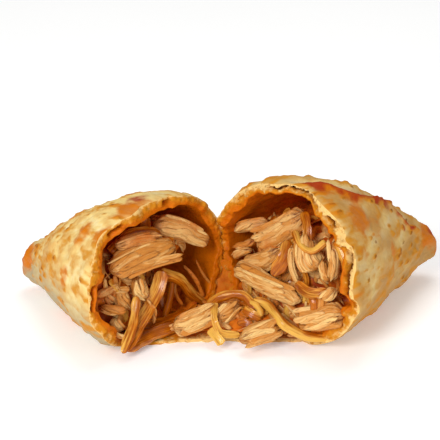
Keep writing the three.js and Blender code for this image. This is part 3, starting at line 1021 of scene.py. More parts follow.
def flap_points(share, depth, inset):
    """Points of the tongue: share goes left to right, depth back to front."""
    wave = 2.5 * (np.sin(9 * share + 1) + 0.5 * np.sin(21 * share))
    angle = np.radians(blend(FLAP_BACK, FLAP_FRONT + wave * depth, depth))
    inset = inset * (1 - 0.6 * smooth(depth, 0.7, 1))
    ends = []
    for half in (LEFT, RIGHT):
        across, up = section(half, np.zeros(len(share)), angle, inset)
        ends.append(place(half, across, up, FLAP_LAPS))
    return blend(ends[0], ends[1], share[:, None])


def bottom_crust():
    bm, slab = new_slab(FLAP_CUTS, "baked", "torn")
    share, depth, top = slab.T
    points = flap_points(share, depth, top * WALL)
    front = smooth(depth, 0.9, 1)
    points[:, 1] += mixed_noise(points, 3, FLAP_WAVES) * front
    points[:, 2] += 0.25 * noise_at(points, 3, 5) * top
    move_to(bm.verts, points)
    soaked = smooth(noise_at(points, 6, 7) - 0.06 * (points[:, 0] + 18), -0.4, 0.4)
    torn = 0.3 + 0.3 * (1 - front) + 0.4 * soaked + 0.3 * (1 - smooth(depth, 0.3, 0.7))
    torn = np.where(top > 0.05, torn, 0)
    write_layers(bm, baked=0.5 * (1 - top), torn=torn, grain=points * MM)
    return crust_piece("crust_bottom", bm)


bottom_crust()

# %% [markdown]
# ## The finish of chicken, onion and sauce
#
# Cooked breast meat is a bundle of fibres. Their tops are pale cream to tan and rather dry, and the
# orange sauce collects between them, with painted shade darkening the grooves, so one value, how
# high a point lies on its fibre, steers the colour, and every strand has a tone of its own. Onion
# is cooked until it is glassy: yellow to orange and shiny. The mass under the pieces is soaked in
# sauce, orange with painted light on its crests and brown with painted shade in its pits. Real meat
# and onion let a little light through, and warm colours stand for that here.

# %% Filling colours
MEAT_PALE = paint(240, 198, 126)
MEAT = paint(208, 134, 54)
MEAT_WET = paint(200, 104, 16)
GROOVE_SAUCE_AND_SHADE = paint(104, 40, 4)
ONION_PALE = paint(228, 174, 74)
ONION = paint(202, 110, 6)
ONION_DARK = paint(128, 52, 2)
MASS = paint(226, 122, 22)
MASS_DARK = paint(150, 52, 4)
SAUCE = paint(240, 190, 104)
SAUCE_DARK = paint(206, 112, 26)
SOFT_SHINE = {"specular_ior_level": 0.15}

# %% Materials of the pieces


def meat_finish():
    finish = Finish("chicken_meat")
    here = finish.here()
    wet = finish.value("wet")
    strands = finish.texture(finish.vector("grain"), 1.0, 3)
    hairs = finish.texture(finish.vector("grain"), 2.6, 2)
    broad = finish.noise(here, 6, 3)
    fine = finish.noise(here, 0.8, 3, seed=2)
    pale = finish.value("tone") + strands.spread(1.9) + broad.spread(0.6)
    soak = finish.between(wet + broad.spread(1.5) + strands.spread(0.7), 0.3, 0.95)
    tops = finish.over(MEAT, MEAT_PALE, pale, 0.0, 1.05)
    tops = finish.mix(soak * 0.9, tops, MEAT_WET)
    # Grooves between fibres take sauce colour darkened with painted shade.
    height = finish.value("fibre") + strands.spread(0.4)
    colour = finish.over(GROOVE_SAUCE_AND_SHADE, tops, height, -0.05, 0.85)
    colour = finish.over(colour, GROOVE_SAUCE_AND_SHADE, hairs, 0.52, 0.72, 0.34)
    roughness = 0.5 - soak * 0.2 + fine.spread(0.25)
    normal = finish.bump(strands * 0.5 + hairs * 0.5, 0.3, 0.6)
    coat = {"coat_weight": 0.1, "coat_roughness": 0.25}
    return finish.close(colour, roughness, normal, **coat, **SOFT_SHINE)


def onion_finish():
    finish = Finish("cooked_onion")
    veins = finish.texture(finish.vector("grain"), 1.0, 4)
    broad = finish.noise(finish.here(), 9, 3, seed=4)
    wet = finish.value("wet")
    colour = finish.over(ONION_PALE, ONION, wet + broad.spread(0.9) + veins.spread(1.3), 0.15, 0.95)
    colour = finish.over(colour, ONION_DARK, veins + wet * 0.3, 0.55, 0.95, 0.75)
    roughness = 0.26 + broad.spread(0.16)
    normal = finish.bump(veins, 0.25, 0.5)
    coat = {"coat_weight": 0.25, "coat_roughness": 0.12}
    return finish.close(colour, roughness, normal, **coat, **SOFT_SHINE)


# %% Materials of what lies under them


def mass_finish():
    finish = Finish("sauce_soaked_mass")
    lumps = finish.noise(finish.here(), 4, 4)
    fine = finish.noise(finish.here(), 1.2, 3, seed=6)
    bright = finish.value("bright")
    # Painted light on the crests, painted shade in the pits.
    colour = finish.over(MASS_DARK, MASS, lumps + bright * 0.6, 0.35, 0.85)
    colour = finish.over(colour, MEAT, bright + fine.spread(0.7), 0.5, 1.0)
    normal = finish.bump(lumps * 0.6 + fine * 0.4, 0.5, 0.6)
    return finish.close(colour, 0.45 + fine.spread(0.25), normal, **SOFT_SHINE)


def sauce_finish():
    finish = Finish("orange_sauce")
    broad = finish.noise(finish.here(), 8, 4, seed=8)
    fine = finish.noise(finish.here(), 1.4, 3, seed=9)
    colour = finish.over(SAUCE, SAUCE_DARK, broad + finish.value("dark"), 0.35, 0.95)
    normal = finish.bump(fine, 0.3, 0.5)
    coat = {"coat_weight": 0.15, "coat_roughness": 0.15}
    return finish.close(colour, 0.35 + fine.spread(0.2), normal, **coat)


chicken_meat = meat_finish()
cooked_onion = onion_finish()
soaked_mass = mass_finish()
orange_sauce = sauce_finish()
print("finishes:", [material.name for material in bpy.data.materials])

# %% [markdown]
# ## The mass under the pieces
#
# Behind the pieces that show lies more of the same, packed and soaked. Modelling each of those
# would be lost work, so a few boxy lumps are fused into one skin by a voxel remesh, held inside
# the hollow by the crust's own formula, and roughened like chopped filling. What has spilled
# between the halves is a lump of its own, held clear of the bottom crust and of both torn edges.

# %% Lumps: centre (across, up, in) and radii along the same
LUMPS = {
    "left": [
        ((38, 14, 22), (15, 16, 17.5)),
        ((20, 27, 14), (12, 5, 9.5)),
        ((28, 14, 36), (22, 16, 20)),
        ((20, 2, 14), (18, 4, 17)),
    ],
    "right": [
        ((29, 18, 22), (25, 17, 18)),
        ((28, 17, 40), (24, 20, 20)),
        ((38, 8, 6), (13, 8, 8)),
        ((20, 7, 5), (15, 8, 8)),
    ],
}
SPILLS = [((6, -16, 3), (15, 7, 5.5)), ((21, -18, 3), (12, 6.5, 6)), ((-6, -18, 2), (8, 5, 3.5))]
LUMP_BOXY = 3.2
LUMP_WAVES = 0.05
MASS_VOXEL = 0.62
TEAR_CLEAR = 2.9  # the spill keeps this far in front of the torn edges
MASS_WAVES = (0.9, 4.5, 0), (0.5, 2.0, 1)


def add_lump(bm, centre, radii, turn):
    """A boxy lump, its radii turned round the vertical."""
    made = bmesh.ops.create_icosphere(bm, subdivisions=5, radius=1)["verts"]
    ball = positions(made)
    wave = np.sin(5 * ball[:, 0] + 1) * np.sin(6 * ball[:, 1]) * np.sin(5 * ball[:, 2] + 2)
    boxy = (np.abs(ball) ** LUMP_BOXY).sum(axis=1) ** (1 / LUMP_BOXY)
    shaped = ball * ((1 + LUMP_WAVES * wave) / boxy)[:, None] * np.array(radii)
    c = math.cos(turn)
    s = math.sin(turn)
    move_to(made, shaped @ np.array([[c, s, 0], [-s, c, 0], [0, 0, 1]]) + np.array(centre))


def fused(bm, voxel):
    """One skin round everything in the bmesh, which is in millimetres."""
    mesh = bpy.data.meshes.new("lumps")
    bm.to_mesh(mesh)
    bm.free()
    holder = add_object("lumps", mesh)
    remesh = holder.modifiers.new("fuse", "REMESH")
    remesh.mode = "VOXEL"
    remesh.voxel_size = voxel
    skin = new_shape("bright")
    skin.from_object(holder, bpy.context.evaluated_depsgraph_get())
    bpy.data.objects.remove(holder)
    bpy.data.meshes.remove(mesh)
    return skin


# %% Keep the mass in its place


def kept_inside(half, points, clearance):
    """Points pulled back into the hollow of a half, where they would stand in its wall."""
    reach, limit, (line, off_across, off_up, inwards) = reach_in(half, points, clearance)
    near = inwards > -half.reach
    share = np.where(near & (reach > limit), limit / np.maximum(reach, 1e-6), 1)
    up = np.maximum(line.level + off_up * share, FLOOR + clearance)
    inwards = np.minimum(inwards, (HOLLOW_ENDS - 0.01) * half.length)
    return place(half, line.middle + off_across * share, up, inwards)


def kept_between(points, clearance):
    """Points pushed out in front of the torn edges and up from the bottom crust."""
    for half in (LEFT, RIGHT):
        reach, limit, (line, off_across, off_up, inwards) = reach_in(half, points, clearance)
        out = (reach > limit) & (inwards > -TEAR_CLEAR)
        inwards = np.where(out, -TEAR_CLEAR, inwards)
        points = place(half, line.middle + off_across, line.level + off_up, inwards)
    points[:, 2] = np.maximum(points[:, 2], FLOOR + clearance)
    return points


def roughened(skin, keep):
    """Gives a skin the lumps of chopped filling. Keep holds points inside the space they have."""
    points = keep(positions(skin.verts), GAP + 0.5)
    move_to(skin.verts, points)
    relief = mixed_noise(points, 11, MASS_WAVES) + 0.25 * np.abs(noise_at(points, 1.1, 13))
    points = keep(points + normals_of(skin) * (relief - 0.3)[:, None], GAP)
    move_to(skin.verts, points)
    # Crests get painted light and pits painted shade; the mass is also lighter low down.
    low = 1 - smooth(points[:, 2], 3, 12)
    write_layers(skin, bright=0.4 * low + 0.45 * smooth(relief, 0.1, 0.9))


# %% Build the mass


def filling_piece(name, bm, material, *sides):
    """A piece that stands for the solid fillings of these sides."""
    nodes = ["filling_" + side for side in sides]
    return make_piece(name, bm, material, "shredded_filling", *nodes)


def mass(half):
    bm = bmesh.new()
    for measures, (wide, tall, deep) in LUMPS[half.name]:
        add_lump(bm, place(half, *measures), (wide, deep, tall), half.side * half.open * -1)
    skin = fused(bm, MASS_VOXEL)
    roughened(skin, lambda points, clearance: kept_inside(half, points, clearance))
    return filling_piece("mass_" + half.name, skin, soaked_mass, half.name)


def spilled_mass():
    bm = bmesh.new()
    for (x, y, z), radii in SPILLS:
        add_lump(bm, (HINGE_X + x, HINGE_Y + y, z), radii, 0)
    skin = fused(bm, MASS_VOXEL)
    roughened(skin, kept_between)
    return filling_piece("mass_spilled", skin, soaked_mass, "right")


mass_pieces = [mass(LEFT), mass(RIGHT), spilled_mass()]

# %% [markdown]
# ## The sauce on the bottom crust
#
# Between the halves the bottom crust is wet with sauce. It is a skin that swells and thins over the
# tongue of crust. A fluid simulation would be slow and would never settle on just this form, so the
# tongue's own formula shapes it, a little higher.

# %% Build the sauce
SAUCE_CUTS = 39
SAUCE_BACK, SAUCE_FRONT = 0.3, 0.96  # shares of the tongue's depth
SAUCE_SINKS = 0.3  # its underside lies in the crust


def sauce_sheet():
    bm, slab = new_slab(SAUCE_CUTS, "dark")
    share, depth, top = slab.T
    depth = blend(SAUCE_BACK, SAUCE_FRONT, depth)
    flat = flap_points(share, depth, np.full(len(slab), float(WALL)))
    swell = 0.9 + 0.8 * noise_at(flat, 5, 6) + 0.3 * noise_at(flat, 1.8, 7)
    edge = (1 - smooth(depth, 0.8, SAUCE_FRONT)) * smooth(depth, SAUCE_BACK, 0.42)
    raised = top * (0.15 + np.maximum(swell, 0.1) * edge) - SAUCE_SINKS
    points = flat + np.array([0, 0, 1]) * raised[:, None]
    move_to(bm.verts, points)
    write_layers(bm, dark=0.15 + 0.4 * (1 - smooth(points[:, 0] - HINGE_X, -14, 2)))
    return filling_piece("sauce_floor", bm, orange_sauce, "left", "right")


sauce_floor = sauce_sheet()

# %% [markdown]
# ## Shreds of chicken
#
# A shred is torn along its fibres, so it's a soft slab whose fibres end one after the other, and
# thin sheets of it have come loose and lie along its face. Slab and sheets are the same thing, a
# flat rod with a groove between each fibre and the next, and a sphere whose rings are laid along a
# line makes one. Hair particles could give fibres too, but they are no mesh, and the export wants
# meshes.

# %% Where the large shreds lie

# From and to as (x, y, z) from the hinge's foot, then width, thickness, bow, twist and wetness.
SHREDS = {
    "right": [
        ((12, -4, 27), (26, -13, 39), 9, 7, 0.1, 10, 0.5),
        ((13, -3, 25), (25, -12, 32), 6, 5, 0.0, 0, 0.7),
        ((4, 1, 27), (15, -3, 32), 4.5, 4, -0.1, 15, 0.45),
        ((4, 0, 22), (11, -2, 26), 3, 3, 0.1, 0, 0.6),
        ((4, -1, 19), (10, -4, 23), 3, 3, -0.1, 0, 0.4),
        ((26, -20, 35), (29, -27, 26), 9, 5, 0.05, -10, 0.1),
        ((23, -16, 29), (25, -21, 23), 5, 5, 0.0, 0, 0.3),
        ((7, -5, 19), (19, -11, 26), 7, 6, 0.12, 12, 0.35),
        ((4.5, -6, 18), (25, -26.5, 15.5), 7, 6, 0.03, 20, 0.15),
        ((34, -28, 36), (34, -30, 24), 4, 4, -0.08, 0, 0.3),
        ((31, -30, 18), (35, -32, 22), 4, 3.5, 0.0, 0, 0.4),
        ((24, -26.5, 10.3), (38, -33, 14), 8.6, 7.5, 0.05, 25, 0.3),
        ((5.5, -32, 4.6), (19.5, -28, 7.4), 7.2, 6, -0.03, -15, 0.25),
        ((-15, -25, 5.5), (-1, -20, 9.5), 7.5, 6, 0.03, 8, 0.38),
        ((-1.5, -22, 6.2), (5.5, -18.5, 11), 6.5, 5, 0.03, 0, 0.35),
        ((22, -20, 31), (24, -23, 19), 2.6, 2.4, 0.2, 0, 0.25),
        ((30, -28, 20), (31, -30, 13), 4.5, 3.5, -0.1, 0, 0.2),
        ((31, -26, 29), (33, -29, 23), 3.2, 2.6, 0.1, 0, 0.3),
    ],
    "left": [
        ((-34, -29, 26.5), (-14, -16, 29), 10.5, 7, -0.06, 8, 0.1),
        ((-32, -26, 33), (-19, -17, 33), 4.5, 5, -0.12, 0, 0.75),
        ((-21, -13, 36), (-4, -4, 25.5), 7.8, 6.5, -0.04, -8, 0.45),
        ((-21, -13, 33), (-15, -14, 24), 4, 3.5, 0.0, 0, 0.5),
        ((-31, -25, 20), (-28, -26, 12), 5, 4.5, 0.08, 0, 0.4),
        ((-28, -20, 18), (-26, -22, 10), 4, 4, -0.08, 0, 0.55),
        ((-26, -23, 22), (-23, -22, 14), 5.5, 5, 0.1, 10, 0.35),
        ((-37, -31, 16), (-29, -28, 13), 3.5, 3.5, 0.1, 0, 0.5),
        ((-36, -28, 19), (-33, -28, 15), 4, 3.5, 0.0, 0, 0.6),
        ((-33, -29, 11), (-30, -30, 7), 3.5, 3.5, 0.1, 0, 0.5),
        ((-8, -5, 20), (-1.8, -4, 9.5), 1.0, 0.8, 0.3, 0, 0.7),
        ((-12, -9, 19.8), (-5.4, -8, 8.2), 1.2, 0.9, -0.3, 0, 0.8),
        ((-14, -13, 18), (-12, -12, 7), 1.4, 1.0, 0.5, 0, 0.9),
        ((-23, -24, 15), (-21, -23, 6), 1.2, 1.0, -0.5, 0, 0.5),
        ((-34, -33, 10), (-28, -33, 6.5), 1.6, 1.2, 0.4, 0, 0.3),
    ],
}
print("large shreds:", {name: len(rows) for name, rows in SHREDS.items()})

# %% Measures of the fibres
FACE = np.array([0, -0.9, 0.4]) / math.hypot(0.9, 0.4)  # pieces turn their broad side here
FIBRE_SPACING = 0.19
BUNDLE_WIDTH = 1.7
GROOVE_DEPTH = 0.55
FIBRE_DEPTH = 0.14
STRAND_ROUNDNESS = 2.3
FIBRE_TONES = 0.35

# %% Rods along a line


def from_hinge(point):
    return Vector((HINGE_X + point[0], HINGE_Y + point[1], point[2]))


def unit(vectors):
    return vectors / np.linalg.norm(vectors, axis=-1, keepdims=True)


def directions(line, face):
    """Unit vectors at each point of a line: along its broad side, and out of that side."""
    tangent = unit(np.gradient(line, axis=0))
    deep = unit(face - tangent * (tangent @ face)[:, None])
    return np.cross(tangent, deep), deep


def lay_on(rod, line, ring, face, flat, high):
    """Lays a rod's rings along a line, with these offsets along its broad side and out of it."""
    broad, deep = directions(line, face)
    move_to(rod.verts, line[ring] + broad[ring] * flat[:, None] + deep[ring] * high[:, None])


# %% Build a strand


def fibres_of(turn, share, length, bundles, number):
    """A strand's bundles: their numbers, crests and fibres, and how they sway and thicken."""
    circle = np.stack([np.cos(turn), np.sin(turn), share * length / 12], axis=-1)
    sway = 0.4 * np.sin(share * length / 2.6 + number)
    sway = sway + 0.15 * np.sin(share * length / 1.2 + 2 * number)
    lane = turn / (2 * np.pi) * bundles + 0.9 * noise_at(circle, 0.9, number) + sway
    crest = np.abs(np.sin(np.pi * lane)) ** 0.45
    fibre = np.abs(np.sin(np.pi * (3 * lane + noise_at(circle, 0.5, number + 1)))) ** 0.7
    uneven = 1 + 0.14 * noise_at(circle, 0.7, number + 3)
    return np.floor(lane).astype(int) % bundles, crest, fibre, sway, uneven


def add_strand(bm, line, face, width, thickness, taper, tone, wet, number):
    """A flat rod of fibres along a line. Taper is how long its ends are, in millimetres."""
    perimeter = 1.6 * (width + thickness)
    small = min(width, thickness)
    sides = int(np.clip(perimeter / FIBRE_SPACING, 7, 128))
    rod, ring, turn = new_ball(sides, len(line) - 1, "fibre", "tone", "wet")
    length = np.linalg.norm(np.diff(line, axis=0), axis=1).sum()
    share = ring / (len(line) - 1)
    rolls = np.random.default_rng(number)
    bundles = max(3, round(perimeter / BUNDLE_WIDTH))
    index, crest, fibre, sway, uneven = fibres_of(turn, share, length, bundles, number)

    cut = rolls.uniform(0.2, 1.0, bundles)[index] * (0.7 + 0.3 * np.sin(5 * share + 2 * index))
    lift = rolls.uniform(-0.5, 0.5, bundles)[index] * crest
    early = rolls.uniform(0, 1, (2, bundles)) ** 1.4 * min(3.2, 0.6 * small)
    from_ends = np.minimum(share * length - early[0][index], (1 - share) * length - early[1][index])
    stepped = 0.6 + 0.4 * smooth(from_ends, -0.3, 0.9 + 0.2 * taper)
    closing = 1 - np.clip(np.minimum(share, 1 - share) * length / taper, 0, 1)
    pinch = np.random.default_rng(number + 9000).uniform(0.05, 0.5, 2)
    scale = stepped * np.sqrt(1 - closing**2) * uneven
    scale *= 1 - pinch[0] * (1 - share) ** 3 - pinch[1] * share**3

    groove = GROOVE_DEPTH * cut * (1 - crest) + FIBRE_DEPTH * (1 - fibre) - 0.3 * lift
    groove *= min(1, small / 3) * (1 - closing)
    power = 2 / STRAND_ROUNDNESS
    flat = width / 2 * signed_power(np.cos(turn), power) * scale - groove * np.cos(turn)
    high = thickness / 2 * signed_power(np.sin(turn), power) * scale - groove * np.sin(turn)
    lay_on(rod, line, ring, face, flat, high)
    # Painted shade: darker in the grooves and where fibres end early.
    shade = 1 - cut * (1 - crest) - 0.3 * (1 - fibre) - 0.9 * (1 - stepped)
    tones = tone + FIBRE_TONES * rolls.uniform(-1, 1, bundles)[index]
    across = flat * 2.1 - 3 * sway + 0.3 * np.sin(share * length / 1.1 + 2 * turn)
    grain = np.stack([across, high * 2.1, share * length * 0.1 + 3 * number], axis=-1)
    write_layers(rod, fibre=shade, tone=tones, wet=np.full(len(flat), wet), grain=grain)
    take_in(bm, rod)


# %% Build a shred of strands
SHRED_STEP = 0.55


def add_shred(bm, start, end, face, width, thickness, bow, twist, wet, number, sheets=None):
    """A slab of fibres from start to end with thin sheets on its face, which is its broad side."""
    rolls = np.random.default_rng(number + 40)
    start = np.array(start[:])
    run = np.array(end[:]) - start
    length = np.linalg.norm(run)
    along = run / length
    deep = unit(face - along * (along @ face))
    broad = np.cross(along, deep)
    rows = int(np.clip(length / SHRED_STEP, 8, 40))
    lean = rolls.uniform(0.1, 0.16)

    def line_at(flat, high, first, last):
        share = np.linspace(first, last, rows + 1)
        inner = np.clip(share, 0, 1)
        wander = lean * min(width, 4) * np.sin(share * rolls.uniform(3, 6) + rolls.uniform(0, 6))
        spin = math.radians(twist) * (2 * share - 1)
        aside = flat * np.cos(spin) - high * np.sin(spin) + 2 * width * bow * np.sin(np.pi * inner)
        out = flat * np.sin(spin) + high * np.cos(spin)
        line = start + np.outer(share * length, along) + np.outer(aside + 0.5 * wander, broad)
        return line + np.outer(out + 0.3 * wander, deep)

    tone = rolls.uniform(0.2, 0.7)
    taper = 0.3 * min(width, thickness) + 0.3
    add_strand(bm, line_at(0, 0, 0, 1), face, width, thickness, taper, tone, wet, 100 * number)
    for sheet in range(round(width / 2) if sheets is None else sheets):
        flat = width * rolls.uniform(-0.42, 0.42)
        high = 0.5 * thickness * (1 - abs(2 * flat / width) ** 2.5) - rolls.uniform(0, 0.3)
        first = rolls.uniform(-0.08, 0.2)
        last = min(first + rolls.uniform(0.55, 0.9), 1.01)
        size = rolls.uniform(0.8, 0.2 * width + 1.0), rolls.uniform(0.5, 1.0)
        sheet_tone = tone + rolls.uniform(-0.3, 0.45)
        line = line_at(flat, high, first, last)
        seed = 100 * number + sheet + 1
        add_strand(bm, line, face, *size, rolls.uniform(1, 3), sheet_tone, wet, seed)


def shreds(half):
    bm = new_shape("fibre", "tone", "wet")
    for number, (start, end, *measures) in enumerate(SHREDS[half.name]):
        seed = number + 20 * (half is LEFT)
        add_shred(bm, from_hinge(start), from_hinge(end), FACE, *measures, seed)
    return filling_piece("chicken_" + half.name, bm, chicken_meat, half.name)


for half in (LEFT, RIGHT):
    shreds(half)

# %% [markdown]
# ## Strips of onion
#
# Onion is cut along its length and goes soft, so its strips bend freely. A strip is a thin ribbon
# swept along a smooth curve through a few points, cupped, with veins that run along it. A curve
# object with a profile would sweep it too, but its cup and its ends could then not vary.

# %% Where the onion lies

# Points from the hinge's foot, then width, thickness, wetness.
STRIPS = {
    "right": [
        ([(22.5, -19, 36), (24.5, -24, 33), (28, -27, 32.5), (32, -28, 36)], 2.2, 0.7, 0.55),
        ([(25.5, -16, 41), (26.5, -20, 37), (26.5, -22, 32)], 3, 1.0, 1.0),
        ([(21, -15, 31), (19.5, -18, 26), (16, -18, 20)], 4.5, 0.9, 1.0),
        ([(35, -29, 37), (38, -33, 31), (39, -35, 24)], 3.2, 1.4, 0.5),
        ([(23, -25, 21), (27, -29, 19.5), (33, -31, 20.5)], 3.4, 0.9, 1.0),
        ([(28, -27, 20), (29, -30, 16), (29, -30, 12)], 3.6, 0.9, 1.2),
        ([(-4, -17, 9), (0, -17, 12.4), (6.5, -18, 13.6), (11, -22, 10.5)], 3, 1.2, 0.95),
        ([(-2, -18, 11), (-2, -26, 9), (0, -27, 5), (6, -27, 4)], 2.2, 0.9, 0.45),
        (
            [
                (10, -20, 13),
                (14, -22, 12.4),
                (17, -27.5, 11.4),
                (20, -31, 9),
                (27, -30, 5),
                (34, -29, 4),
            ],
            3.0,
            1.0,
            0.5,
        ),
        ([(7, -21, 10.5), (9.5, -23, 9.5), (12.5, -24, 8)], 2.8, 0.9, 0.9),
        ([(5, -25, 7), (7.5, -26, 8), (10, -27, 7)], 2.2, 0.8, 1.1),
        ([(8, -19, 12), (11, -22, 12), (13, -25, 9.5)], 2.0, 0.9, 0.4),
        ([(-3.5, -26, 5.8), (-1, -28.5, 3.8), (0.5, -30, 2.2)], 3.0, 1.0, 0.1),
    ],
    "left": [
        ([(-19, -18, 21), (-13, -14, 17), (-9, -10, 10), (-5, -7, 5)], 3.6, 1.0, 0.9),
        (
            [
                (-18.3, -18, 22),
                (-19.5, -20, 17),
                (-22.3, -24, 12),
                (-25.7, -30, 8.5),
                (-29.5, -37, 3.6),
            ],
            4.4,
            0.9,
            0.8,
        ),
        ([(-26, -26, 17), (-26.5, -29, 12), (-27.5, -33, 8), (-30, -37.5, 2.8)], 2.8, 1.0, 0.8),
        ([(-34, -25, 31), (-28, -19, 34.5), (-20, -14, 33), (-15, -12, 29)], 3.4, 0.9, 1.1),
        ([(-23, -14, 39), (-24, -15, 34), (-28, -18, 31)], 3.0, 0.8, 1.2),
        (
            [(-29.5, -35.5, 3.2), (-25, -29.5, 3.6), (-20, -24.5, 3.8), (-13.5, -20, 4)],
            4.6,
            1.6,
            1.2,
        ),
        ([(-19, -15, 12), (-17, -15, 6), (-14, -13, 4)], 2.6, 1.0, 1.3),
        ([(-24, -24, 5), (-17, -19, 4.5), (-10, -13, 4.5)], 4.5, 1.0, 1.2),
        ([(-15, -13, 20), (-16, -16, 12), (-18, -18, 5)], 2.2, 0.8, 1.3),
    ],
}
STRIP_SIDES = 28
STRIP_STEP = 0.45
CUP = 0.26
print("large strips:", {name: len(rows) for name, rows in STRIPS.items()})

# %% A curve through a few points


def between_points(a, b, c, d, t):
    """A smooth way from b to c that comes from a and goes on to d, at a share t of it."""
    bend = (2 * a - 5 * b + 4 * c - d) * t**2
    return 0.5 * (2 * b + (c - a) * t + bend + (3 * b - a - 3 * c + d) * t**3)


def curve_through(points, count):
    """Equally spaced points on a smooth curve through a few points, and its length."""
    given = [np.array(point[:]) for point in points]
    given = [2 * given[0] - given[1], *given, 2 * given[-1] - given[-2]]
    shares = np.linspace(0, 1, 24, endpoint=False)
    fine = []
    for four in zip(given, given[1:], given[2:], given[3:]):
        fine += [between_points(*four, t) for t in shares]
    fine = np.array([*fine, given[-2]])
    steps = np.linalg.norm(np.diff(fine, axis=0), axis=1)
    travelled = np.concatenate([[0], np.cumsum(steps)])
    wanted = np.linspace(0, travelled[-1], count)
    spaced = [np.interp(wanted, travelled, fine[:, i]) for i in range(3)]
    return np.stack(spaced, axis=-1), travelled[-1]


# %% Build a strip


def add_strip(bm, points, face, width, thickness, wet, number):
    """A ribbon of onion through the points. Its number varies its ends, its cup and its tint."""
    _, length = curve_through(points, 8)
    rows = max(8, round(length / STRIP_STEP))
    line, length = curve_through(points, rows + 1)
    taper = 0.35 + 0.3 * (number % 3)
    ribbon, ring, turn = new_ball(STRIP_SIDES, rows, "wet")
    share = ring / rows
    from_end = np.minimum(share, 1 - share) * length / (taper * width)
    closing = np.sqrt(1 - np.clip(1 - from_end, 0, 1) ** 2)
    wobble = 1 + 0.07 * np.sin(9 * share + number) + 0.05 * np.sin(23 * share + 2 * number)
    flat = width / 2 * np.cos(turn) * closing * wobble
    cup = CUP * width * (np.cos(turn) ** 2 - 0.5) * math.cos(2.3 * number)
    ribs = 0.1 * np.sin(7 * turn + 3 * share)
    high = thickness / 2 * signed_power(np.sin(turn), 0.8) * closing * (1 + ribs) - cup * closing
    lay_on(ribbon, line, ring, face, flat, high)
    tint = wet + 0.45 * np.cos(turn) * math.cos(2 * number) - 0.1
    grain = np.stack([flat * 2.2, high, share * length * 0.2 + number * 3], axis=-1)
    write_layers(ribbon, wet=tint, grain=grain)
    take_in(bm, ribbon)


def strips(half):
    bm = new_shape("wet")
    for number, (points, *measures) in enumerate(STRIPS[half.name]):
        add_strip(bm, [from_hinge(point) for point in points], FACE, *measures, number)
    return filling_piece("onion_" + half.name, bm, cooked_onion, half.name)


for half in (LEFT, RIGHT):
    strips(half)

# %% [markdown]
# ## Small bits
#
# Between the large shreds lies chopped meat: short shreds, thin threads of fibre and scraps of
# onion. A physics simulation would drop them too, but each run could end differently. So a ray
# goes straight into the mouth of a half, or down onto the spill, and where it meets what is
# already there a bit is laid flat on it. Rays follow the half's own directions, so the heap is as
# full seen from the side as from the front. All chances come from one seed, so the heap is the
# same each time.

# %% Where bits land
RAYS_START = -14.0  # in front of the torn edge
MOUTH_SHARE = 0.9
SPILL_X = -14, 28
SPILL_Y = -28, -13
SPILL_TOP = 40
MOUTH_DEPTH = 40
SPILL_DEPTH = 38


def surface_of(pieces):
    """One search tree over several pieces, in millimetres."""
    verts = []
    faces = []
    for piece in pieces:
        start = len(verts)
        verts += [vert.co / MM for vert in piece.data.vertices]
        faces += [[start + index for index in face.vertices] for face in piece.data.polygons]
    return BVHTree.FromPolygons(verts, faces)


def mouth_ray(half):
    """A random ray into the mouth of a half: its start and direction."""
    angle = chance.uniform(0, 2 * math.pi)
    share = chance.uniform(0, MOUTH_SHARE) ** 0.5 * MOUTH_SHARE
    across, up = section(half, np.zeros(1), np.array([angle]), WALL + 2.0, share)
    start = Vector(place(half, across, up, np.array([RAYS_START]))[0].tolist())
    ahead = place(half, across, up, np.array([RAYS_START + 1]))[0]
    return start, (Vector(ahead.tolist()) - start).normalized()


def spill_ray():
    """A random ray down onto what lies between the halves."""
    x = chance.uniform(*SPILL_X)
    return from_hinge((x, chance.uniform(*SPILL_Y), SPILL_TOP)), Vector((0, 0, -1))


def landings(tree, aim, count, deepest):
    """Where count rays land: point, normal and a random direction along the surface."""
    found = []
    for _ in range(count):
        start, direction = aim()
        point, normal, _, distance = tree.ray_cast(start, direction)
        if point is None or distance > deepest:
            continue
        if normal.dot(direction) > 0:
            normal.negate()
        any_way = Vector([chance.gauss(0, 1) for _ in range(3)])
        along = (any_way - normal * any_way.dot(normal)).normalized()
        found.append((point, normal, along))
    return found


# %% Lay the bits
SHRED_LENGTHS = 4.5, 12
SHRED_WIDTHS = 1.2, 3.2
THREAD_LENGTHS = 3.5, 11
THREAD_WIDTHS = 0.45, 0.95
SCRAP_LENGTHS = 4, 8
SCRAP_WIDTHS = 2, 3.6


def lay_shred(bm, landing, number):
    point, normal, along = landing
    length = chance.uniform(*SHRED_LENGTHS)
    width = chance.uniform(*SHRED_WIDTHS)
    thickness = width * chance.uniform(0.4, 0.7)
    middle = point + normal * (0.2 * thickness)
    tilt = along + normal * chance.uniform(-0.15, 0.25)
    half_run = tilt.normalized() * (length / 2)
    face = np.array(normal[:])
    bow, twist = chance.uniform(-0.25, 0.25), chance.uniform(-25, 25)
    wet = chance.uniform(0.1, 0.8)
    ends = middle - half_run, middle + half_run
    add_shred(bm, *ends, face, width, thickness, bow, twist, wet, number, sheets=1)


def lay_thread(bm, landing, number):
    point, normal, along = (np.array(vector[:]) for vector in landing)
    length = chance.uniform(*THREAD_LENGTHS)
    aside = np.array(landing[1].cross(landing[2])[:])
    bend = chance.uniform(-0.3, 0.3) * length
    share = np.linspace(0, 1, 13)
    arch = np.sin(np.pi * share)
    line = point + np.outer((share - 0.5) * length, along)
    line += np.outer(bend * arch, aside) + np.outer(0.2 + 0.6 * arch, normal)
    size = chance.uniform(*THREAD_WIDTHS)
    wet = chance.uniform(0.2, 0.9)
    add_strand(bm, line, normal, size, size * 0.8, 1.5, chance.random(), wet, number)


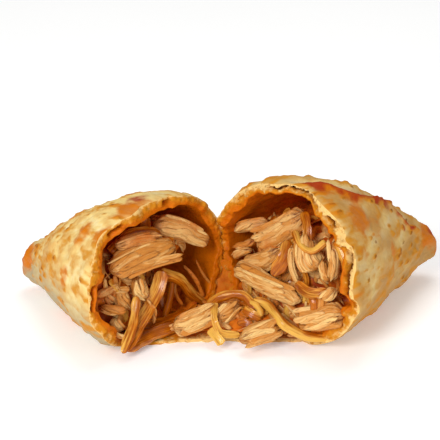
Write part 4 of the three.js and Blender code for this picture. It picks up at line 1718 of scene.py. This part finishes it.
def lay_scrap(bm, landing, number):
    point, normal, along = landing
    length = chance.uniform(*SCRAP_LENGTHS)
    aside = normal.cross(along) * chance.uniform(-0.2, 0.2) * length
    middle = point + normal * 0.8
    points = [middle - along * (length / 2), middle + aside, middle + along * (length / 2)]
    width = chance.uniform(*SCRAP_WIDTHS)
    add_strip(bm, points, np.array(normal[:]), width, 1.0, chance.uniform(0.3, 1), number)


# %% Fill both mouths and the spill

# How many rays drop a short shred, a thread and a scrap of onion.
BITS = {"left": (56, 50, 14), "right": (120, 100, 18), "spilled": (56, 60, 14)}


def bits(name, aim, under, deepest, side):
    meat = new_shape("fibre", "tone", "wet")
    onion = new_shape("wet")
    tree = surface_of(under)
    kinds = (lay_shred, meat, 300), (lay_thread, meat, 500), (lay_scrap, onion, 0)
    for (lay, bm, seed), count in zip(kinds, BITS[name]):
        for number, landing in enumerate(landings(tree, aim, count, deepest)):
            lay(bm, landing, seed + number)
    filling_piece("chicken_bits_" + name, meat, chicken_meat, side)
    filling_piece("onion_bits_" + name, onion, cooked_onion, side)


for half, mass_piece in zip((LEFT, RIGHT), mass_pieces):
    bits(half.name, lambda: mouth_ray(half), [mass_piece], MOUTH_DEPTH, half.name)
bits("spilled", spill_ray, [mass_pieces[2], sauce_floor], SPILL_DEPTH, "right")

# %% [markdown]
# ## Floor, light and camera
#
# The part stands on a plain pale floor in soft studio light: a large lamp above the viewer's left
# shoulder, a weaker one on the right, one above the back, and a white surround. A lit picture of a
# room would light it too, but it would also show in the gloss. The camera is long and looks down
# 24 degrees, the angle of the photograph.

# %% Floor
FLOOR_HALF = 1.6  # metres
FLOOR_GLOW = 0.22


def studio_floor():
    bm = bmesh.new()
    bmesh.ops.create_grid(bm, x_segments=1, y_segments=1, size=FLOOR_HALF)
    mesh = bpy.data.meshes.new("studio_floor")
    bm.to_mesh(mesh)
    bm.free()
    finish = Finish("pale_floor")
    broad = finish.noise(finish.here(), 60, 2)
    tone = finish.mix(broad, paint(250, 250, 249), paint(253, 253, 252))
    fine = finish.noise(finish.here(), 1.5, 2)
    glow = {"emission_color": (1, 1, 1, 1), "emission_strength": FLOOR_GLOW}
    material = finish.close(tone, 0.85 + fine.spread(0.1), finish.bump(fine, 0.05, 0.2), **glow)
    mesh.materials.append(material)
    floor = add_object("studio_floor", mesh)
    return floor


print("floor:", studio_floor().name)

# %% Light
MIDDLE = (0, -0.01, 0.02)
SURROUND = 0.4


def add_lamp(name, at, size, watts):
    """A round soft lamp that looks at the middle of the part."""
    lamp = bpy.data.lights.new(name, "AREA")
    lamp.shape = "DISK"
    lamp.size = size
    lamp.energy = watts
    holder = add_object(name, lamp)
    holder.location = at
    holder.rotation_euler = (Vector(MIDDLE) - Vector(at)).to_track_quat("-Z", "Y").to_euler()


add_lamp("key_lamp", (-0.34, -0.68, 0.46), 0.34, 4.8)
add_lamp("fill_lamp", (0.6, -0.5, 0.3), 0.5, 0.7)
add_lamp("top_lamp", (0.05, 0.25, 0.8), 0.5, 1.9)
world = bpy.data.worlds.new("white_surround")
world.use_nodes = True
surround = world.node_tree.nodes["Background"]
surround.inputs["Color"].default_value = (1, 1, 1, 1)
surround.inputs["Strength"].default_value = SURROUND
bpy.context.scene.world = world
bpy.context.scene.view_settings.view_transform = "Standard"
print("lamps:", [lamp.name for lamp in bpy.data.lights])

# %% Camera
TARGET = Vector((HINGE_X, HINGE_Y - 20, 22)) * MM  # this point shows at that pixel of the picture
TARGET_PIXEL = (221, 273)
PICTURE = 440
FOCAL_PIXELS = 2000
DISTANCE = 0.62
SENSOR = 36
ELEVATION = math.radians(24)


def add_camera():
    camera = bpy.data.cameras.new("camera")
    camera.sensor_width = SENSOR
    camera.lens = FOCAL_PIXELS / PICTURE * SENSOR
    camera.clip_start = 0.01
    holder = add_object("camera", camera)
    holder.location = TARGET + DISTANCE * Vector((0, -math.cos(ELEVATION), math.sin(ELEVATION)))
    pitch = ELEVATION - math.atan((TARGET_PIXEL[1] - PICTURE / 2) / FOCAL_PIXELS)
    yaw = math.atan((TARGET_PIXEL[0] - PICTURE / 2) / FOCAL_PIXELS)
    forward = (-math.sin(yaw) * math.cos(pitch), math.cos(yaw) * math.cos(pitch), -math.sin(pitch))
    holder.rotation_euler = Vector(forward).to_track_quat("-Z", "Y").to_euler()
    bpy.context.scene.camera = holder
    print("camera at", holder.location[:], "with a lens of", camera.lens, "mm")


add_camera()
